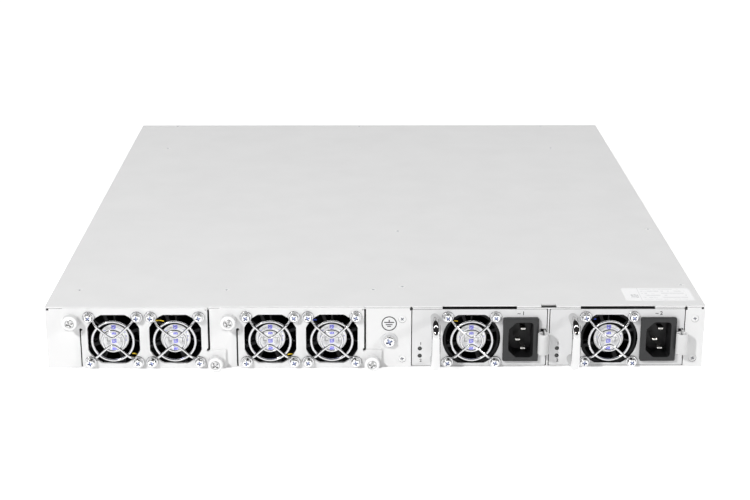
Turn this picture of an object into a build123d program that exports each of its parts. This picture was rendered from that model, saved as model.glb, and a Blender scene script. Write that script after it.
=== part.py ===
from build123d import *
import os
from math import copysign, cos, radians, sin, sqrt

# One-unit rackmount network switch. Millimetres, +Z up, origin at the centre of the underside.
# The side at -Y carries the fan trays and the power modules, the side at +Y carries the ports,
# and +X runs to the right for someone who looks at the fan and power side.
#
# Pieces of the fan and power side are drawn in a face frame: x is the row's X, y is its Z,
# and z is the distance out of that side, so what lies inside the chassis has a negative z.

# ---------------------------------------------------------------- chassis sheet metal
chassis_depth = 510.0
chassis_sheet = 1.0
cover_sheet = 1.0
left_flange = 22.35          # panel left of the first fan tray
tray_post = 17.7             # panel between the two fan trays
ground_panel = 30.25         # panel between the fan trays and the power modules
right_flange = 12.9          # panel right of the power modules
rear_lip_depth = 45.0        # lip under the cover, along the fan and power side
side_lip_width = 13.0        # lip under the cover, along both sides
corner_relief = 1.5          # bend relief beside each side sheet, at the upper corners
bay_relief = 1.9             # bend relief at the outer upper corners of the module bays
bend_outside = 0.7           # radius of the fold between the rear panel and its lip
cover_joint = 0.5            # open joint under the cover, to the right of the fan trays
cover_joint_depth = 1.0
cover_notch = 1.2            # notch in the cover's edge above each bay relief
slot_depth = 4.0             # finger slots in the lip above the power modules
slot_width = 49.7
divider_slot_width = 10.3
cover_slot_depth = 2.0       # the slots above the modules, in the cover's edge
divider_slot_depth = 4.0     # the slot above the divider is in the cover alone

# ---------------------------------------------------------------- fans and finger guards
fan_size = 40.0
fan_depth = 28.0
fan_bore_gap = 1.1           # wall between the fan's bore and its side
fan_corner_radius = 3.0
fan_spacing = 1.1            # between the two fans of a tray
fan_top_gap = 0.3            # between a module and the sheet above or below it
fan_screw_inset = 4.0        # from a tray fan's side to its screw
stator_radius = 9.9
stator_thickness = 2.6
strut_width = 2.0
strut_count = 4
rotor_gap = 0.8              # between stator disc and rotor hub
rotor_length = 19.0
rotor_radius = 9.3
blade_count = 7
blade_tip_gap = 0.7
blade_thickness = 0.9
blade_twist = 38.0
shaft_radius = 1.0
shaft_fit = 0.05             # running clearance round the shaft
wire_radius = 0.8
outer_ring_radius = 13.7
inner_ring_radius = 7.2
eyelet_radius = 3.3          # centreline of the loop round each screw
bend_height = 2.6            # from the fan's axis to the nearest point of a bent wire
guard_rise = 2.6             # the rings' side of the guard above its eyelets
guard_knee = 10.5            # where the bent wires leave the raised part, along X
guard_foot = 13.6            # where they reach the eyelets' level
wire_bite = 0.25             # how far the welded wires sink into each other
pan_head_radius = 3.1
pan_head_height = 3.0
fan_screw_radius = 1.5
fan_screw_length = 9.0
screw_gap = 0.05             # round a screw in its own thread
cross_width = 0.9
cross_depth = 0.7

# ---------------------------------------------------------------- fan trays
tray_sheet = 2.0
tray_slide_gap = 1.2         # each side, tray plate and bracket to the chassis opening
tray_fan_gap = 0.8           # each side, fans to the bracket
tray_margin = 0.3            # plate inside the chassis outline, at the top and bottom
tray_opening_radius = 19.0
tray_opening_flat = 17.3
tray_ear_width = 11.65
upper_ear_bottom = 28.0
lower_ear_top = 13.4
upper_thumb_inset = 5.85     # from the plate's side out to the screw
lower_thumb_inset = 5.25
upper_thumb_height = 35.0
lower_thumb_height = 5.4
ear_relief_radius = 1.1
plate_notch = 1.5            # notch in the plate's right edge, level with the cover joint
plate_notch_low = 1.1        # from the cover's underside down to the notch's lower edge
plate_notch_high = 0.3
bracket_sheet = 0.8
bracket_depth = 55.0
bracket_window_radius = 17.0
tray_corner_radius = 2.5
plug_width = 14.0
plug_height = 10.0
plug_length = 7.0
plug_gap = 0.4               # plug to socket, all round
socket_wall = 1.8

# ---------------------------------------------------------------- thumbscrews
thumb_radius = 5.0
thumb_height = 8.0
thumb_collar_radius = 3.9
thumb_collar_height = 1.3
thumb_seat_gap = 0.1
thumb_edge = 1.2
thumb_recess_radius = 3.1
thumb_recess_depth = 0.9
thumb_shank_radius = 1.5
thumb_shank_length = 6.0
thumb_thread_fit = 0.06
thumb_hole_gap = 0.4

# ---------------------------------------------------------------- power modules
psu_depth = 190.0
psu_corner_radius = 0.9      # folded edges of the module case
psu_side_gap = 0.6           # each side, module to bay wall
psu_wall = 0.6
psu_face = 1.2
bay_divider = 1.0
psu_fan_size = 36.6
psu_fan_bore_gap = 1.0
psu_fan_screw_inset = 2.3
psu_fan_left = 21.5          # module's left side to the fan's left side
psu_opening_radius = 19.4
psu_opening_flat = 17.2      # the opening is cut flat at the top and bottom only
handle_left = 15.0           # module's left side to the handle's axis
handle_bar_radius = 2.95
handle_reach = 24.2
handle_bend_radius = 7.5
handle_low = 6.2
handle_high = 35.6
light_left = 5.3
light_low = 8.2
light_high = 13.4
light_radius = 1.4
light_length = 5.0
psu_board_height = 3.1       # above the module's floor
psu_board_sheet = 1.6
psu_board_margin = 5.0
psu_board_front = 33.0       # behind the face
transformer_left = 20.0
transformer_size = 32.0
transformer_height = 24.0
transformer_depth = 88.0
can_left = 66.0
can_radius = 9.0
can_height = 26.0
can_depth = 60.0
can_pitch = 24.0
rib_left = 10.0
rib_width = 6.0
rib_height = 25.0
rib_length = 110.0
rib_depth = 60.0
back_slot_pitch = 6.0
back_slot_width = 3.0
back_slot_low = 19.0         # below the module's top
back_slot_high = 5.0
back_cut_gap = 1.0           # round the contact fingers
rear_foot_inset = 6.0
finger_left = 30.0
finger_width = 30.0
finger_length = 8.0
foot_radius = 2.0

# ---------------------------------------------------------------- mains inlet
inlet_width = 23.8
inlet_height = 30.6
inlet_flange = 3.0
inlet_fan_gap = 2.7          # fan's right side to the flange's left side
inlet_right = 5.4            # flange's right side to the module's right side
inlet_bottom = 5.1
inlet_body_inset = 1.7       # body is smaller than the flange, each side
inlet_body_depth = 16.0
inlet_panel_gap = 0.1
inlet_corner_radius = 0.8
cavity_width = 16.4
cavity_height = 24.6
cavity_depth = 16.5
cavity_chamfer = 5.0
cavity_corner_radius = 2.2
pin_width = 4.0
pin_thickness = 2.0
pin_length = 13.5
line_pin_offset = 1.8
line_pin_spread = 7.0
earth_pin_offset = -2.2

# ---------------------------------------------------------------- release latch
latch_sheet = 0.8
latch_right = 0.8            # module's right side to the latch blade
latch_eye_shift = 1.7        # the eye stands to the left of the blade's middle
latch_low = 12.5
latch_high = 26.8
latch_pivot_depth = 29.0     # pivot pin behind the face
latch_reach = 7.4            # from the face to the curl's axis
latch_curl_radius = 3.85
latch_curl_shift = 1.3       # the curl's axis stands to the left of the blade's middle
latch_curl_mouth = 1.4       # from the curl's free end to the blade
latch_pin_radius = 1.0
latch_eye_wall = 1.0
latch_slot_left = 3.9        # slot in the face, from the module's right side
latch_slot_right = 0.4
latch_slot_low = 11.6
latch_slot_high = 27.5

# ---------------------------------------------------------------- screws and earth terminal
flush_head_radius = 2.5
flush_head_depth = 0.6
flush_shank_radius = 1.4
flush_shank_length = 2.2
cover_screw_inset = 33.6     # rear row, from the fan and power side
rear_row_left = 17.8         # screws of the rear row, from the left side
rear_row_second = 118.2
rear_row_third = 218.7
divider_screw_inset = 5.0    # pair beside the power bay, from the bay's left wall
divider_screw_rear = 39.8    # and from the fan and power side
divider_screw_middle = 167.0
side_screw_inset = 8.4       # pair along the right side, from that side
side_screw_rear = 42.1       # and from the fan and power side
side_screw_middle = 171.1
front_row_inset = 89.0
front_row_left = 34.0
front_row_pitch = 176.0
panel_screw_low = 6.0
panel_screw_high = 34.4
ground_screw_inset = 15.5    # from the left side of the ground panel
panel_screw_inset = 24.3
ground_screw_height = 19.5
ground_washer_radius = 5.6
ground_washer_height = 1.0
ground_head_radius = 4.1
ground_head_height = 3.2
ground_shank_radius = 2.0
ground_shank_length = 8.0

# ---------------------------------------------------------------- mounting holes
ear_hole_radius = 1.65
ear_hole_front = 26.0        # nearest hole, from the port side
ear_hole_spacing = 32.0
ear_hole_low = 12.0
ear_hole_rise = 20.0

# ---------------------------------------------------------------- boards and cooling
standoff_height = 5.0
standoff_radius = 3.0
board_sheet = 1.6
board_side_gap = 5.0
board_front_gap = 1.5
board_rear_gap = 6.0
standoff_inset = 12.0
sink_size = 90.0
sink_base = 5.0
sink_height = 24.0
sink_fin = 1.4
sink_fins = 14
sink_front = 120.0           # heatsink's centre, from the port side
chip_size = 45.0
chip_height = 3.0

# ---------------------------------------------------------------- port side
front_sheet = 1.0
front_lip_depth = 9.0
cover_joint = 0.2            # between the cover and the port panel's lip
port_proud = 1.0             # cages stand out of the port panel
port_columns = 6
port_width = 13.9
port_height = 9.0
port_wall = 0.5
port_rise = 4.5              # between the lower and the upper row
port_depth = 47.0
uplink_width = 18.6
uplink_depth = 60.0
connector_depth = 10.0
cage_panel_gap = 0.3
first_block_inset = 173.0    # chassis side to the middle of the first port block
block_gap = 4.0
pipe_radius = 0.8
pipe_length = 5.5
pipe_spread = 3.0
jack_width = 17.0
jack_height = 27.0
jack_depth = 23.0
jack_inset = 17.0            # chassis side to the middle of the jacks
jack_port_width = 11.8
jack_port_height = 8.4
jack_port_depth = 14.0
jack_key_width = 6.2
jack_key_height = 2.4
jack_port_floor = 2.2
jack_port_pitch = 13.4
status_inset = 43.0          # chassis side to the first status light
status_pitch = 4.5
status_count = 4
status_radius = 1.2
status_height = 27.0
status_length = 8.0
reset_inset = 34.0           # chassis side to the reset button
reset_height = 14.0
reset_radius = 1.1
reset_hole_gap = 0.35
reset_length = 7.0
reset_travel = 0.6
reset_recess = 0.4
reset_box = 6.4
vent_width = 3.9             # across the flats of a hexagonal vent
vent_pitch = 5.0
vent_rows = 6
vent_low = 8.5
vent_margin = 2.5            # from the field of vents to its neighbours

# ---------------------------------------------------------------- places worked out from the sizes
chassis_height = 2 * chassis_sheet + 2 * fan_top_gap + fan_size + cover_sheet
lip_top = chassis_height - cover_sheet
lip_bottom = lip_top - chassis_sheet
rear_y = -chassis_depth / 2
front_y = chassis_depth / 2
panel_back = front_y - front_sheet
floor = chassis_sheet
module_bottom = floor + fan_top_gap
module_top = lip_bottom - fan_top_gap
fan_height = module_bottom + fan_size / 2
tray_inside = fan_size + fan_spacing / 2 + tray_fan_gap
tray_half = tray_inside + bracket_sheet
tray_opening = 2 * (tray_half + tray_slide_gap)
psu_width = psu_fan_left + psu_fan_size + inlet_fan_gap + inlet_width + inlet_right
inlet_left = psu_width - inlet_right - inlet_width
bay_width = psu_width + 2 * psu_side_gap
chassis_width = (left_flange + 2 * tray_opening + tray_post + ground_panel
                 + 2 * bay_width + bay_divider + right_flange)
left_x = -chassis_width / 2
right_x = chassis_width / 2
tray_a_left = left_x + left_flange
tray_b_left = tray_a_left + tray_opening + tray_post
tray_centres = [tray_a_left + tray_opening / 2, tray_b_left + tray_opening / 2]
ground_left = tray_b_left + tray_opening
bay_lefts = [ground_left + ground_panel, ground_left + ground_panel + bay_width + bay_divider]
psu_lefts = [bay_left + psu_side_gap for bay_left in bay_lefts]
bay_right = bay_lefts[1] + bay_width
fan_offset = (fan_size + fan_spacing) / 2
psu_fan_x = psu_fan_left + psu_fan_size / 2
psu_fan_height = module_bottom + psu_wall + psu_fan_size / 2
board_bottom = floor + standoff_height
board_top = board_bottom + board_sheet
plug_bottom = fan_height - plug_height / 2
tray_socket_front = bracket_depth + plug_gap
tray_socket_depth = plug_length + plug_gap + socket_wall
psu_socket_front = psu_depth + plug_gap
psu_socket_depth = finger_length + plug_gap + socket_wall
bay_depth = psu_socket_front + psu_socket_depth
psu_board_bottom = module_bottom + psu_wall + psu_board_height
cage_height = 2 * port_height + port_rise + 2 * port_wall
cage_mouth = front_y + port_proud
block_width = port_columns * (port_width + port_wall) + port_wall
uplink_block_width = uplink_width + 2 * port_wall
block_centres = [right_x - first_block_inset, right_x - first_block_inset - block_width - block_gap]
uplink_x = block_centres[1] - block_width / 2 - block_gap - uplink_block_width / 2
jack_x = right_x - jack_inset
status_x = right_x - status_inset
reset_x = right_x - reset_inset
front_row_y = front_y - front_row_inset


# ---------------------------------------------------------------- shared shapes
def block(x, y, z):
    """Box between a low and a high value on each axis."""
    size = (x[1] - x[0], y[1] - y[0], z[1] - z[0])
    return Pos((x[0] + x[1]) / 2, (y[0] + y[1]) / 2, (z[0] + z[1]) / 2) * Box(*size)


def about(centre, width):
    """Low and high value of a span, from its centre and width."""
    return centre - width / 2, centre + width / 2


def rod(x, y, radius, low, high):
    """Round bar along the local z axis."""
    return Pos(x, y, (low + high) / 2) * Cylinder(radius, high - low)


def on_rear(shape, x=0.0):
    """Moves a shape from the face frame to the fan and power side."""
    return Pos(x, rear_y, 0) * Rot(90, 0, 0) * shape


def group(shapes):
    """Separate solids that share one node."""
    solids = []
    for shape in shapes:
        solids.extend(shape.solids())
    return Compound(solids)


def cross(radius, top):
    """Cutter for a cross recess in a screw head."""
    depth = (top - cross_depth, top + cross_depth)
    along = block((-radius, radius), about(0, cross_width), depth)
    return along + block(about(0, cross_width), (-radius, radius), depth)


def pan_screw():
    """Pan-head screw on its seat at z = 0."""
    head = rod(0, 0, pan_head_radius, 0, pan_head_height)
    head = fillet(head.edges().group_by(Axis.Z)[-1], pan_head_height * 0.45)
    shank = rod(0, 0, fan_screw_radius, -fan_screw_length, 0)
    return head + shank - cross(pan_head_radius * 0.6, pan_head_height)


def flush_screw():
    """Low-head screw whose top is level with the sheet at z = 0."""
    head = rod(0, 0, flush_head_radius, -flush_head_depth, 0)
    shank = rod(0, 0, flush_shank_radius, -flush_shank_length, -flush_head_depth)
    return head + shank - cross(flush_head_radius * 0.6, flush_head_depth * 0.4)


def flush_hole():
    """Counterbored hole that takes a flush screw."""
    wide = rod(0, 0, flush_head_radius + screw_gap, -flush_head_depth, 1)
    return wide + rod(0, 0, flush_shank_radius + screw_gap, -2 * flush_shank_length, 0)


def fan_corners(size, inset):
    """The four screw places round a fan's axis."""
    reach = size / 2 - inset
    return [(sx * reach, sy * reach) for sx in (-1, 1) for sy in (-1, 1)]


def fan_cutter(radius, half_width, half_height, low, high):
    """Round fan opening cut flat at its sides and at its top and bottom."""
    return rod(0, 0, radius, low, high) & block(about(0, 2 * half_width), about(0, 2 * half_height),
                                                (low, high))


def fan_frame(size, bore_gap, inset):
    """Moulded fan frame with its stator disc and struts; the front is at z = 0."""
    bore = size / 2 - bore_gap
    frame = block((-size / 2, size / 2), (-size / 2, size / 2), (-fan_depth, 0))
    frame = fillet(frame.edges().filter_by(Axis.Z), fan_corner_radius)
    frame -= rod(0, 0, bore, -fan_depth - 1, 1)
    frame += rod(0, 0, stator_radius, -stator_thickness, 0)
    for index in range(strut_count):
        strut = block((stator_radius - 1, bore + 0.5), about(0, strut_width), (-stator_thickness, -0.6))
        frame += Rot(0, 0, 90 * index + 20) * strut
    frame -= rod(0, 0, shaft_radius + shaft_fit, -stator_thickness - 1, -0.5)
    for x, y in fan_corners(size, inset):
        frame -= rod(x, y, fan_screw_radius + screw_gap, -fan_depth - 1, 1)
    return frame


def fan_rotor(size, bore_gap):
    """Rotor hub with twisted blades and its shaft."""
    top = -stator_thickness - rotor_gap
    tip = size / 2 - bore_gap - blade_tip_gap
    rotor = rod(0, 0, rotor_radius, top - rotor_length, top)
    rotor += rod(0, 0, shaft_radius, top - 1, -1.0)
    blade_low = top - rotor_length + 0.5
    section = Pos((rotor_radius + tip) / 2 - 0.3, 0, blade_low)
    section *= Rectangle(tip - rotor_radius + 0.6, blade_thickness)
    height = rotor_length - 1.5
    blade = Solid.extrude_linear_with_rotation(
        section.face(), (0, 0, blade_low), (0, 0, height), blade_twist)
    for index in range(blade_count):
        rotor += Rot(0, 0, 360 / blade_count * index) * blade
    return rotor


def bent_wire(reach, side):
    """Raised wire from one eyelet to the next, curved past the fan's axis."""
    end = reach - eyelet_radius * cos(radians(45))
    slope = sqrt(end ** 2 - bend_height ** 2) / end
    places = [(end, 0), (guard_foot, 0), (guard_knee, guard_rise)]
    places += [(guard_knee * share, guard_rise) for share in (0.7, 0.4, 0.2)]
    right = [(x, side * sqrt(bend_height ** 2 + (slope * x) ** 2), z) for x, z in places]
    left = [(-x, y, z) for x, y, z in right]
    path = Spline(*left, (0, side * bend_height, guard_rise), *reversed(right))
    return sweep(Plane(origin=path @ 0, z_dir=path % 0) * Circle(wire_radius), path=path)


def finger_guard(size, inset):
    """Wire guard: two rings welded on two bent wires that end in eyelets; its seat is z = 0."""
    reach = size / 2 - inset
    guard = bent_wire(reach, 1) + bent_wire(reach, -1)
    for x, y in fan_corners(size, inset):
        guard += Pos(x, y, 0) * Torus(eyelet_radius, wire_radius)
    rings = Torus(outer_ring_radius, wire_radius) + Torus(inner_ring_radius, wire_radius)
    guard += Pos(0, 0, guard_rise + 2 * wire_radius - wire_bite) * rings
    return Pos(0, 0, wire_radius) * guard


def guard_screws(size, inset):
    """Four screws that hold a guard and its fan."""
    return [Pos(x, y, 2 * wire_radius) * pan_screw() for x, y in fan_corners(size, inset)]


# ---------------------------------------------------------------- chassis
def thumb_places():
    """Where the four thumbscrews enter the chassis panel: (x, height)."""
    places = []
    for centre in tray_centres:
        places.append((centre - tray_half - upper_thumb_inset, upper_thumb_height))
        places.append((centre + tray_half + lower_thumb_inset, lower_thumb_height))
    return places


def panel_screw_places():
    """Flush screws of the ground panel and of the right-hand flange: (x, height)."""
    columns = (ground_left + panel_screw_inset, (bay_right + right_x) / 2)
    return [(x, height) for x in columns for height in (panel_screw_low, panel_screw_high)]


def cover_screw_places():
    """Flush screws of the cover: (x, y)."""
    rear_row = rear_y + cover_screw_inset
    columns = (rear_row_left, rear_row_second, rear_row_third)
    places = [(left_x + column, rear_row) for column in columns]
    divider_x = bay_lefts[0] - divider_screw_inset
    places += [(divider_x, rear_y + y) for y in (divider_screw_rear, divider_screw_middle)]
    places += [(right_x - side_screw_inset, rear_y + y) for y in (side_screw_rear, side_screw_middle)]
    places += [(left_x + front_row_left + front_row_pitch * step, front_row_y) for step in (0, 2)]
    return places


def finger_slots():
    """Spans along X of the slots above the power modules."""
    return [about(left + bay_width / 2, slot_width) for left in bay_lefts]


def chassis_base():
    """Folded tray: floor, two sides, the fan and power panel, and the lips under the cover."""
    run = (rear_y, panel_back)
    rise = (0, lip_top)
    tray = block((left_x, right_x), run, (0, chassis_sheet))
    tray += block((left_x, left_x + chassis_sheet), run, rise)
    tray += block((right_x - chassis_sheet, right_x), run, rise)
    tray += block((left_x, right_x), (rear_y, rear_y + chassis_sheet), rise)
    lip = (lip_bottom, lip_top)
    tray += block((left_x, left_x + side_lip_width), run, lip)
    tray += block((right_x - side_lip_width, right_x), run, lip)
    tray += block((left_x, right_x), (rear_y, rear_y + rear_lip_depth), lip)
    fold = tray.edges().filter_by(Axis.X).group_by(Axis.Y)[0].sort_by(Axis.Z)[-1]
    tray = fillet(fold, bend_outside)
    through = (rear_y - 1, rear_y + chassis_sheet)
    cuts = []
    for left in (tray_a_left, tray_b_left):
        cuts.append(block((left, left + tray_opening), through, (floor, lip_bottom)))
    for left in bay_lefts:
        cuts.append(block((left, left + bay_width), through, (floor, lip_bottom)))
    for slot in finger_slots():
        cuts.append(block(slot, (rear_y - 1, rear_y + slot_depth), (lip_bottom - 1, lip_top + 1)))
    for x in (bay_lefts[0], bay_right):
        near = (rear_y - 1, rear_y + bay_relief)
        cuts.append(block(about(x, bay_relief), near, (lip_bottom - bay_relief / 2, lip_top + 1)))
    for x in (left_x, right_x):
        inner = x - copysign(chassis_sheet + corner_relief / 2, x)
        near = (rear_y - 1, rear_y + corner_relief)
        cuts.append(block(about(inner, corner_relief), near, (lip_top - corner_relief, lip_top + 1)))
    near = (rear_y - 1, rear_y + cover_joint_depth)
    cuts.append(block((ground_left, right_x - chassis_sheet), near, (lip_top - cover_joint, lip_top + 1)))
    for x, height in thumb_places():
        cuts.append(on_rear(rod(x, height, thumb_shank_radius + thumb_thread_fit, -8, 1)))
    for x, height in panel_screw_places():
        cuts.append(on_rear(Pos(x, height, 0) * flush_hole()))
    ground_x = ground_left + ground_screw_inset
    ground_hole = rod(ground_x, ground_screw_height, ground_shank_radius + screw_gap, -8, 1)
    cuts.append(on_rear(ground_hole))
    for x, y in cover_screw_places():
        if y < rear_y + rear_lip_depth or abs(x) > right_x - side_lip_width:
            hole = rod(x, y, flush_shank_radius + screw_gap, lip_bottom - 1, lip_top + 1)
            cuts.append(hole)
    for side in (left_x, right_x):
        for step in (0, 1):
            for rise_step in (0, 1):
                y = front_y - ear_hole_front - ear_hole_spacing * step
                z = ear_hole_low + ear_hole_rise * rise_step
                cuts.append(Pos(side, y, z) * Rot(0, 90, 0) * Cylinder(ear_hole_radius, 3 * chassis_sheet))
    return tray - cuts


def top_cover():
    """Flat cover plate with counterbored screw holes."""
    run = (rear_y, front_y - front_lip_depth - cover_joint)
    cover = block((left_x, right_x), run, (lip_top, chassis_height))
    cuts = [Pos(x, y, chassis_height) * flush_hole() for x, y in cover_screw_places()]
    notches = [(slot, cover_slot_depth) for slot in finger_slots()]
    notches.append((about(bay_lefts[1] - bay_divider / 2, divider_slot_width), divider_slot_depth))
    notches += [(about(x, cover_notch), cover_notch) for x in (bay_lefts[0], bay_right)]
    for span, depth in notches:
        cuts.append(block(span, (rear_y - 1, rear_y + depth), (lip_top - 1, chassis_height + 1)))
    return cover - cuts


def inner_brackets():
    """Bay walls behind the fan and power panel, and the brace under the cover."""
    start = rear_y + chassis_sheet
    walls = []
    for left in (tray_a_left, tray_b_left):
        for x in (left - chassis_sheet, left + tray_opening):
            run = (start, rear_y + tray_socket_front + tray_socket_depth)
            walls.append(block((x, x + chassis_sheet), run, (floor, lip_bottom)))
    run = (start, rear_y + bay_depth)
    for x in (bay_lefts[1] - bay_divider, bay_right):
        walls.append(block((x, x + bay_divider), run, (floor, lip_bottom)))
    inner = block((bay_lefts[0] - bay_divider, bay_lefts[0]), run, (floor, lip_bottom))
    flange_run = (rear_y + rear_lip_depth, rear_y + bay_depth)
    inner += block((bay_lefts[0] - side_lip_width, bay_lefts[0]), flange_run, (lip_bottom, lip_top))
    brace_run = (front_row_y - side_lip_width / 2, front_row_y + side_lip_width / 2)
    span = (left_x + side_lip_width, right_x - side_lip_width)
    brace = block(span, brace_run, (lip_bottom, lip_top))
    web = (brace_run[1] - chassis_sheet, brace_run[1])
    brace += block(span, web, (lip_bottom - 6, lip_bottom))
    for x, y in cover_screw_places():
        hole = rod(x, y, flush_shank_radius + screw_gap, lip_bottom - 1, lip_top + 1)
        inner -= hole
        brace -= hole
    return group(walls + [inner, brace])


def ground_screw():
    """Earth terminal: screw and washer on the ground panel."""
    radius = ground_washer_radius
    washer = rod(0, 0, radius, 0, ground_washer_height)
    washer -= rod(0, 0, ground_shank_radius + screw_gap, -1, ground_washer_height + 1)
    top = ground_washer_height + ground_head_height
    head = rod(0, 0, ground_head_radius, ground_washer_height, top)
    head = fillet(head.edges().group_by(Axis.Z)[-1], ground_head_height * 0.3)
    screw = head + rod(0, 0, ground_shank_radius, -ground_shank_length, ground_washer_height)
    screw -= cross(ground_head_radius * 0.65, top)
    place = Pos(ground_left + ground_screw_inset, ground_screw_height, 0)
    return on_rear(group([place * washer, place * screw]))


# ---------------------------------------------------------------- fan trays
def tray_plate():
    """Tray's outer plate: an ear at the upper left, one at the lower right, two fan openings."""
    depth = (0, tray_sheet)
    rise = (tray_margin, chassis_height - tray_margin)
    ear = tray_half + tray_ear_width
    body = block((-tray_half, tray_half), rise, depth)
    body = fillet(body.edges().filter_by(Axis.Z).sort_by(Axis.Y)[:2], tray_corner_radius)
    body += block((-ear, -tray_half + 1), (upper_ear_bottom, rise[1]), depth)
    body += block((tray_half - tray_corner_radius - 1, ear), (rise[0], lower_ear_top), depth)
    cuts = [rod(-tray_half, upper_ear_bottom, ear_relief_radius, -1, tray_sheet + 1)]
    cuts.append(rod(tray_half, lower_ear_top, ear_relief_radius, -1, tray_sheet + 1))
    notch = (lip_top - plate_notch_low, lip_top - plate_notch_high)
    cuts.append(block((tray_half - plate_notch, tray_half + 1), notch, (-1, tray_sheet + 1)))
    for side in (-1, 1):
        cutter = fan_cutter(tray_opening_radius, tray_opening_flat, tray_opening_flat, -1, tray_sheet + 1)
        cuts.append(Pos(side * fan_offset, fan_height, 0) * cutter)
        for x, y in fan_corners(fan_size, fan_screw_inset):
            place = (side * fan_offset + x, fan_height + y)
            cuts.append(rod(*place, fan_screw_radius + screw_gap, -1, tray_sheet + 1))
    hole = thumb_shank_radius + thumb_hole_gap
    upper = -tray_half - upper_thumb_inset
    cuts.append(rod(upper, upper_thumb_height, hole, -1, tray_sheet + 1))
    lower = tray_half + lower_thumb_inset
    cuts.append(rod(lower, lower_thumb_height, hole, -1, tray_sheet + 1))
    return body - cuts


def tray_bracket():
    """U-shaped sheet behind the plate that carries the plug."""
    rise = (module_bottom, module_top)
    bracket = block((-tray_half, tray_half), rise, (-bracket_depth, 0))
    bracket -= block((-tray_inside, tray_inside), (0, chassis_height), (-bracket_depth + bracket_sheet, 1))
    for side in (-1, 1):
        window = rod(side * fan_offset, fan_height, bracket_window_radius, -bracket_depth - 1, 0)
        bracket -= window
    return bracket


def tray_plug():
    """Blind-mate plug on the tray bracket's inner end."""
    depth = (-bracket_depth - plug_length, -bracket_depth)
    return block(about(0, plug_width), about(fan_height, plug_height), depth)


def tray_fan_places():
    """Axes of a tray's two fans, from its centre."""
    return [Pos(-fan_offset, fan_height, 0), Pos(fan_offset, fan_height, 0)]


def thumbscrew():
    """Captive thumbscrew on its seat at z = 0: capped head, collar and shank."""
    top = thumb_height
    head = rod(0, 0, thumb_radius, thumb_seat_gap + thumb_collar_height, top)
    head = fillet(head.edges().group_by(Axis.Z)[-1], thumb_edge)
    head -= rod(0, 0, thumb_recess_radius, top - thumb_recess_depth, top + 1)
    insert = rod(0, 0, thumb_recess_radius - 0.4, top - thumb_recess_depth - 1, top - 0.3)
    head += insert - cross(thumb_recess_radius * 0.7, top - 0.3)
    collar = rod(0, 0, thumb_collar_radius, thumb_seat_gap, thumb_seat_gap + thumb_collar_height)
    shank = rod(0, 0, thumb_shank_radius, -tray_sheet - thumb_shank_length, thumb_seat_gap)
    return head + collar + shank


# ---------------------------------------------------------------- power modules
def psu_case():
    """Module case with its face, fan opening, inlet cut-out, latch slot and cooling slots."""
    case = block((0, psu_width), (module_bottom, module_top), (-psu_depth, 0))
    case = fillet(case.edges().filter_by(Axis.Z), psu_corner_radius)
    inside_rise = (module_bottom + psu_wall, module_top - psu_wall)
    inside = block((psu_wall, psu_width - psu_wall), inside_rise, (-psu_depth + psu_wall, -psu_face))
    cuts = [inside]
    cutter = fan_cutter(psu_opening_radius, psu_opening_radius, psu_opening_flat, -psu_face - 1, 1)
    cuts.append(Pos(psu_fan_x, psu_fan_height, 0) * cutter)
    for x, y in fan_corners(psu_fan_size, psu_fan_screw_inset):
        hole = rod(psu_fan_x + x, psu_fan_height + y, fan_screw_radius + screw_gap, -psu_face - 1, 1)
        cuts.append(hole)
    shrink = inlet_body_inset - inlet_panel_gap
    inlet_x = (inlet_left + shrink, inlet_left + inlet_width - shrink)
    inlet_z = (inlet_bottom + shrink, inlet_bottom + inlet_height - shrink)
    cuts.append(block(inlet_x, inlet_z, (-psu_face - 1, 1)))
    for height in (light_low, light_high):
        cuts.append(rod(light_left, height, light_radius + screw_gap, -psu_face - 1, 1))
    slot_x = (psu_width - latch_slot_left, psu_width - latch_slot_right)
    cuts.append(block(slot_x, (latch_slot_low, latch_slot_high), (-psu_face - 1, 1)))
    back = (-psu_depth - 1, -psu_depth + psu_wall)
    fingers = (finger_left - back_cut_gap, finger_left + finger_width + back_cut_gap)
    finger_rise = (psu_board_bottom - back_cut_gap, psu_board_bottom + psu_board_sheet + back_cut_gap)
    cuts.append(block(fingers, finger_rise, back))
    slot_rise = (module_top - back_slot_low, module_top - back_slot_high)
    for index in range(int((psu_width - 2 * psu_board_margin) / back_slot_pitch)):
        x = psu_board_margin + back_slot_pitch * (index + 0.5)
        cuts.append(block(about(x, back_slot_width), slot_rise, back))
    case -= cuts
    base = module_bottom + psu_wall
    pin = rod(0, 0, latch_pin_radius, 0, latch_high + 1 - base)
    pin_place = Pos(latch_eye_x(), base, -latch_pivot_depth) * Rot(-90, 0, 0)
    case += pin_place * pin
    for x in (psu_board_margin + foot_radius, psu_board_right() - foot_radius):
        for depth in (psu_board_front + foot_radius, psu_depth - rear_foot_inset):
            foot = rod(0, 0, foot_radius, 0, psu_board_height)
            case += Pos(x, base, -depth) * Rot(-90, 0, 0) * foot
    return case


def latch_blade_x():
    """Middle of the latch blade, from the module's left side."""
    return psu_width - latch_right - latch_sheet / 2


def latch_eye_x():
    """Axis of the latch's pivot pin, from the module's left side."""
    return latch_blade_x() - latch_eye_shift


def psu_board_right():
    """Right side of the module's circuit board, clear of the latch."""
    return psu_width - latch_right - latch_sheet - psu_board_margin


def psu_handle():
    """Round bar bent to a U, its legs square to the face."""
    reach = handle_reach - handle_bar_radius
    points = [(handle_left, handle_high, 0), (handle_left, handle_high, reach)]
    points += [(handle_left, handle_low, reach), (handle_left, handle_low, 0)]
    path = FilletPolyline(*points, radius=handle_bend_radius)
    return sweep(Plane(origin=path @ 0, z_dir=path % 0) * Circle(handle_bar_radius), path=path)


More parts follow.
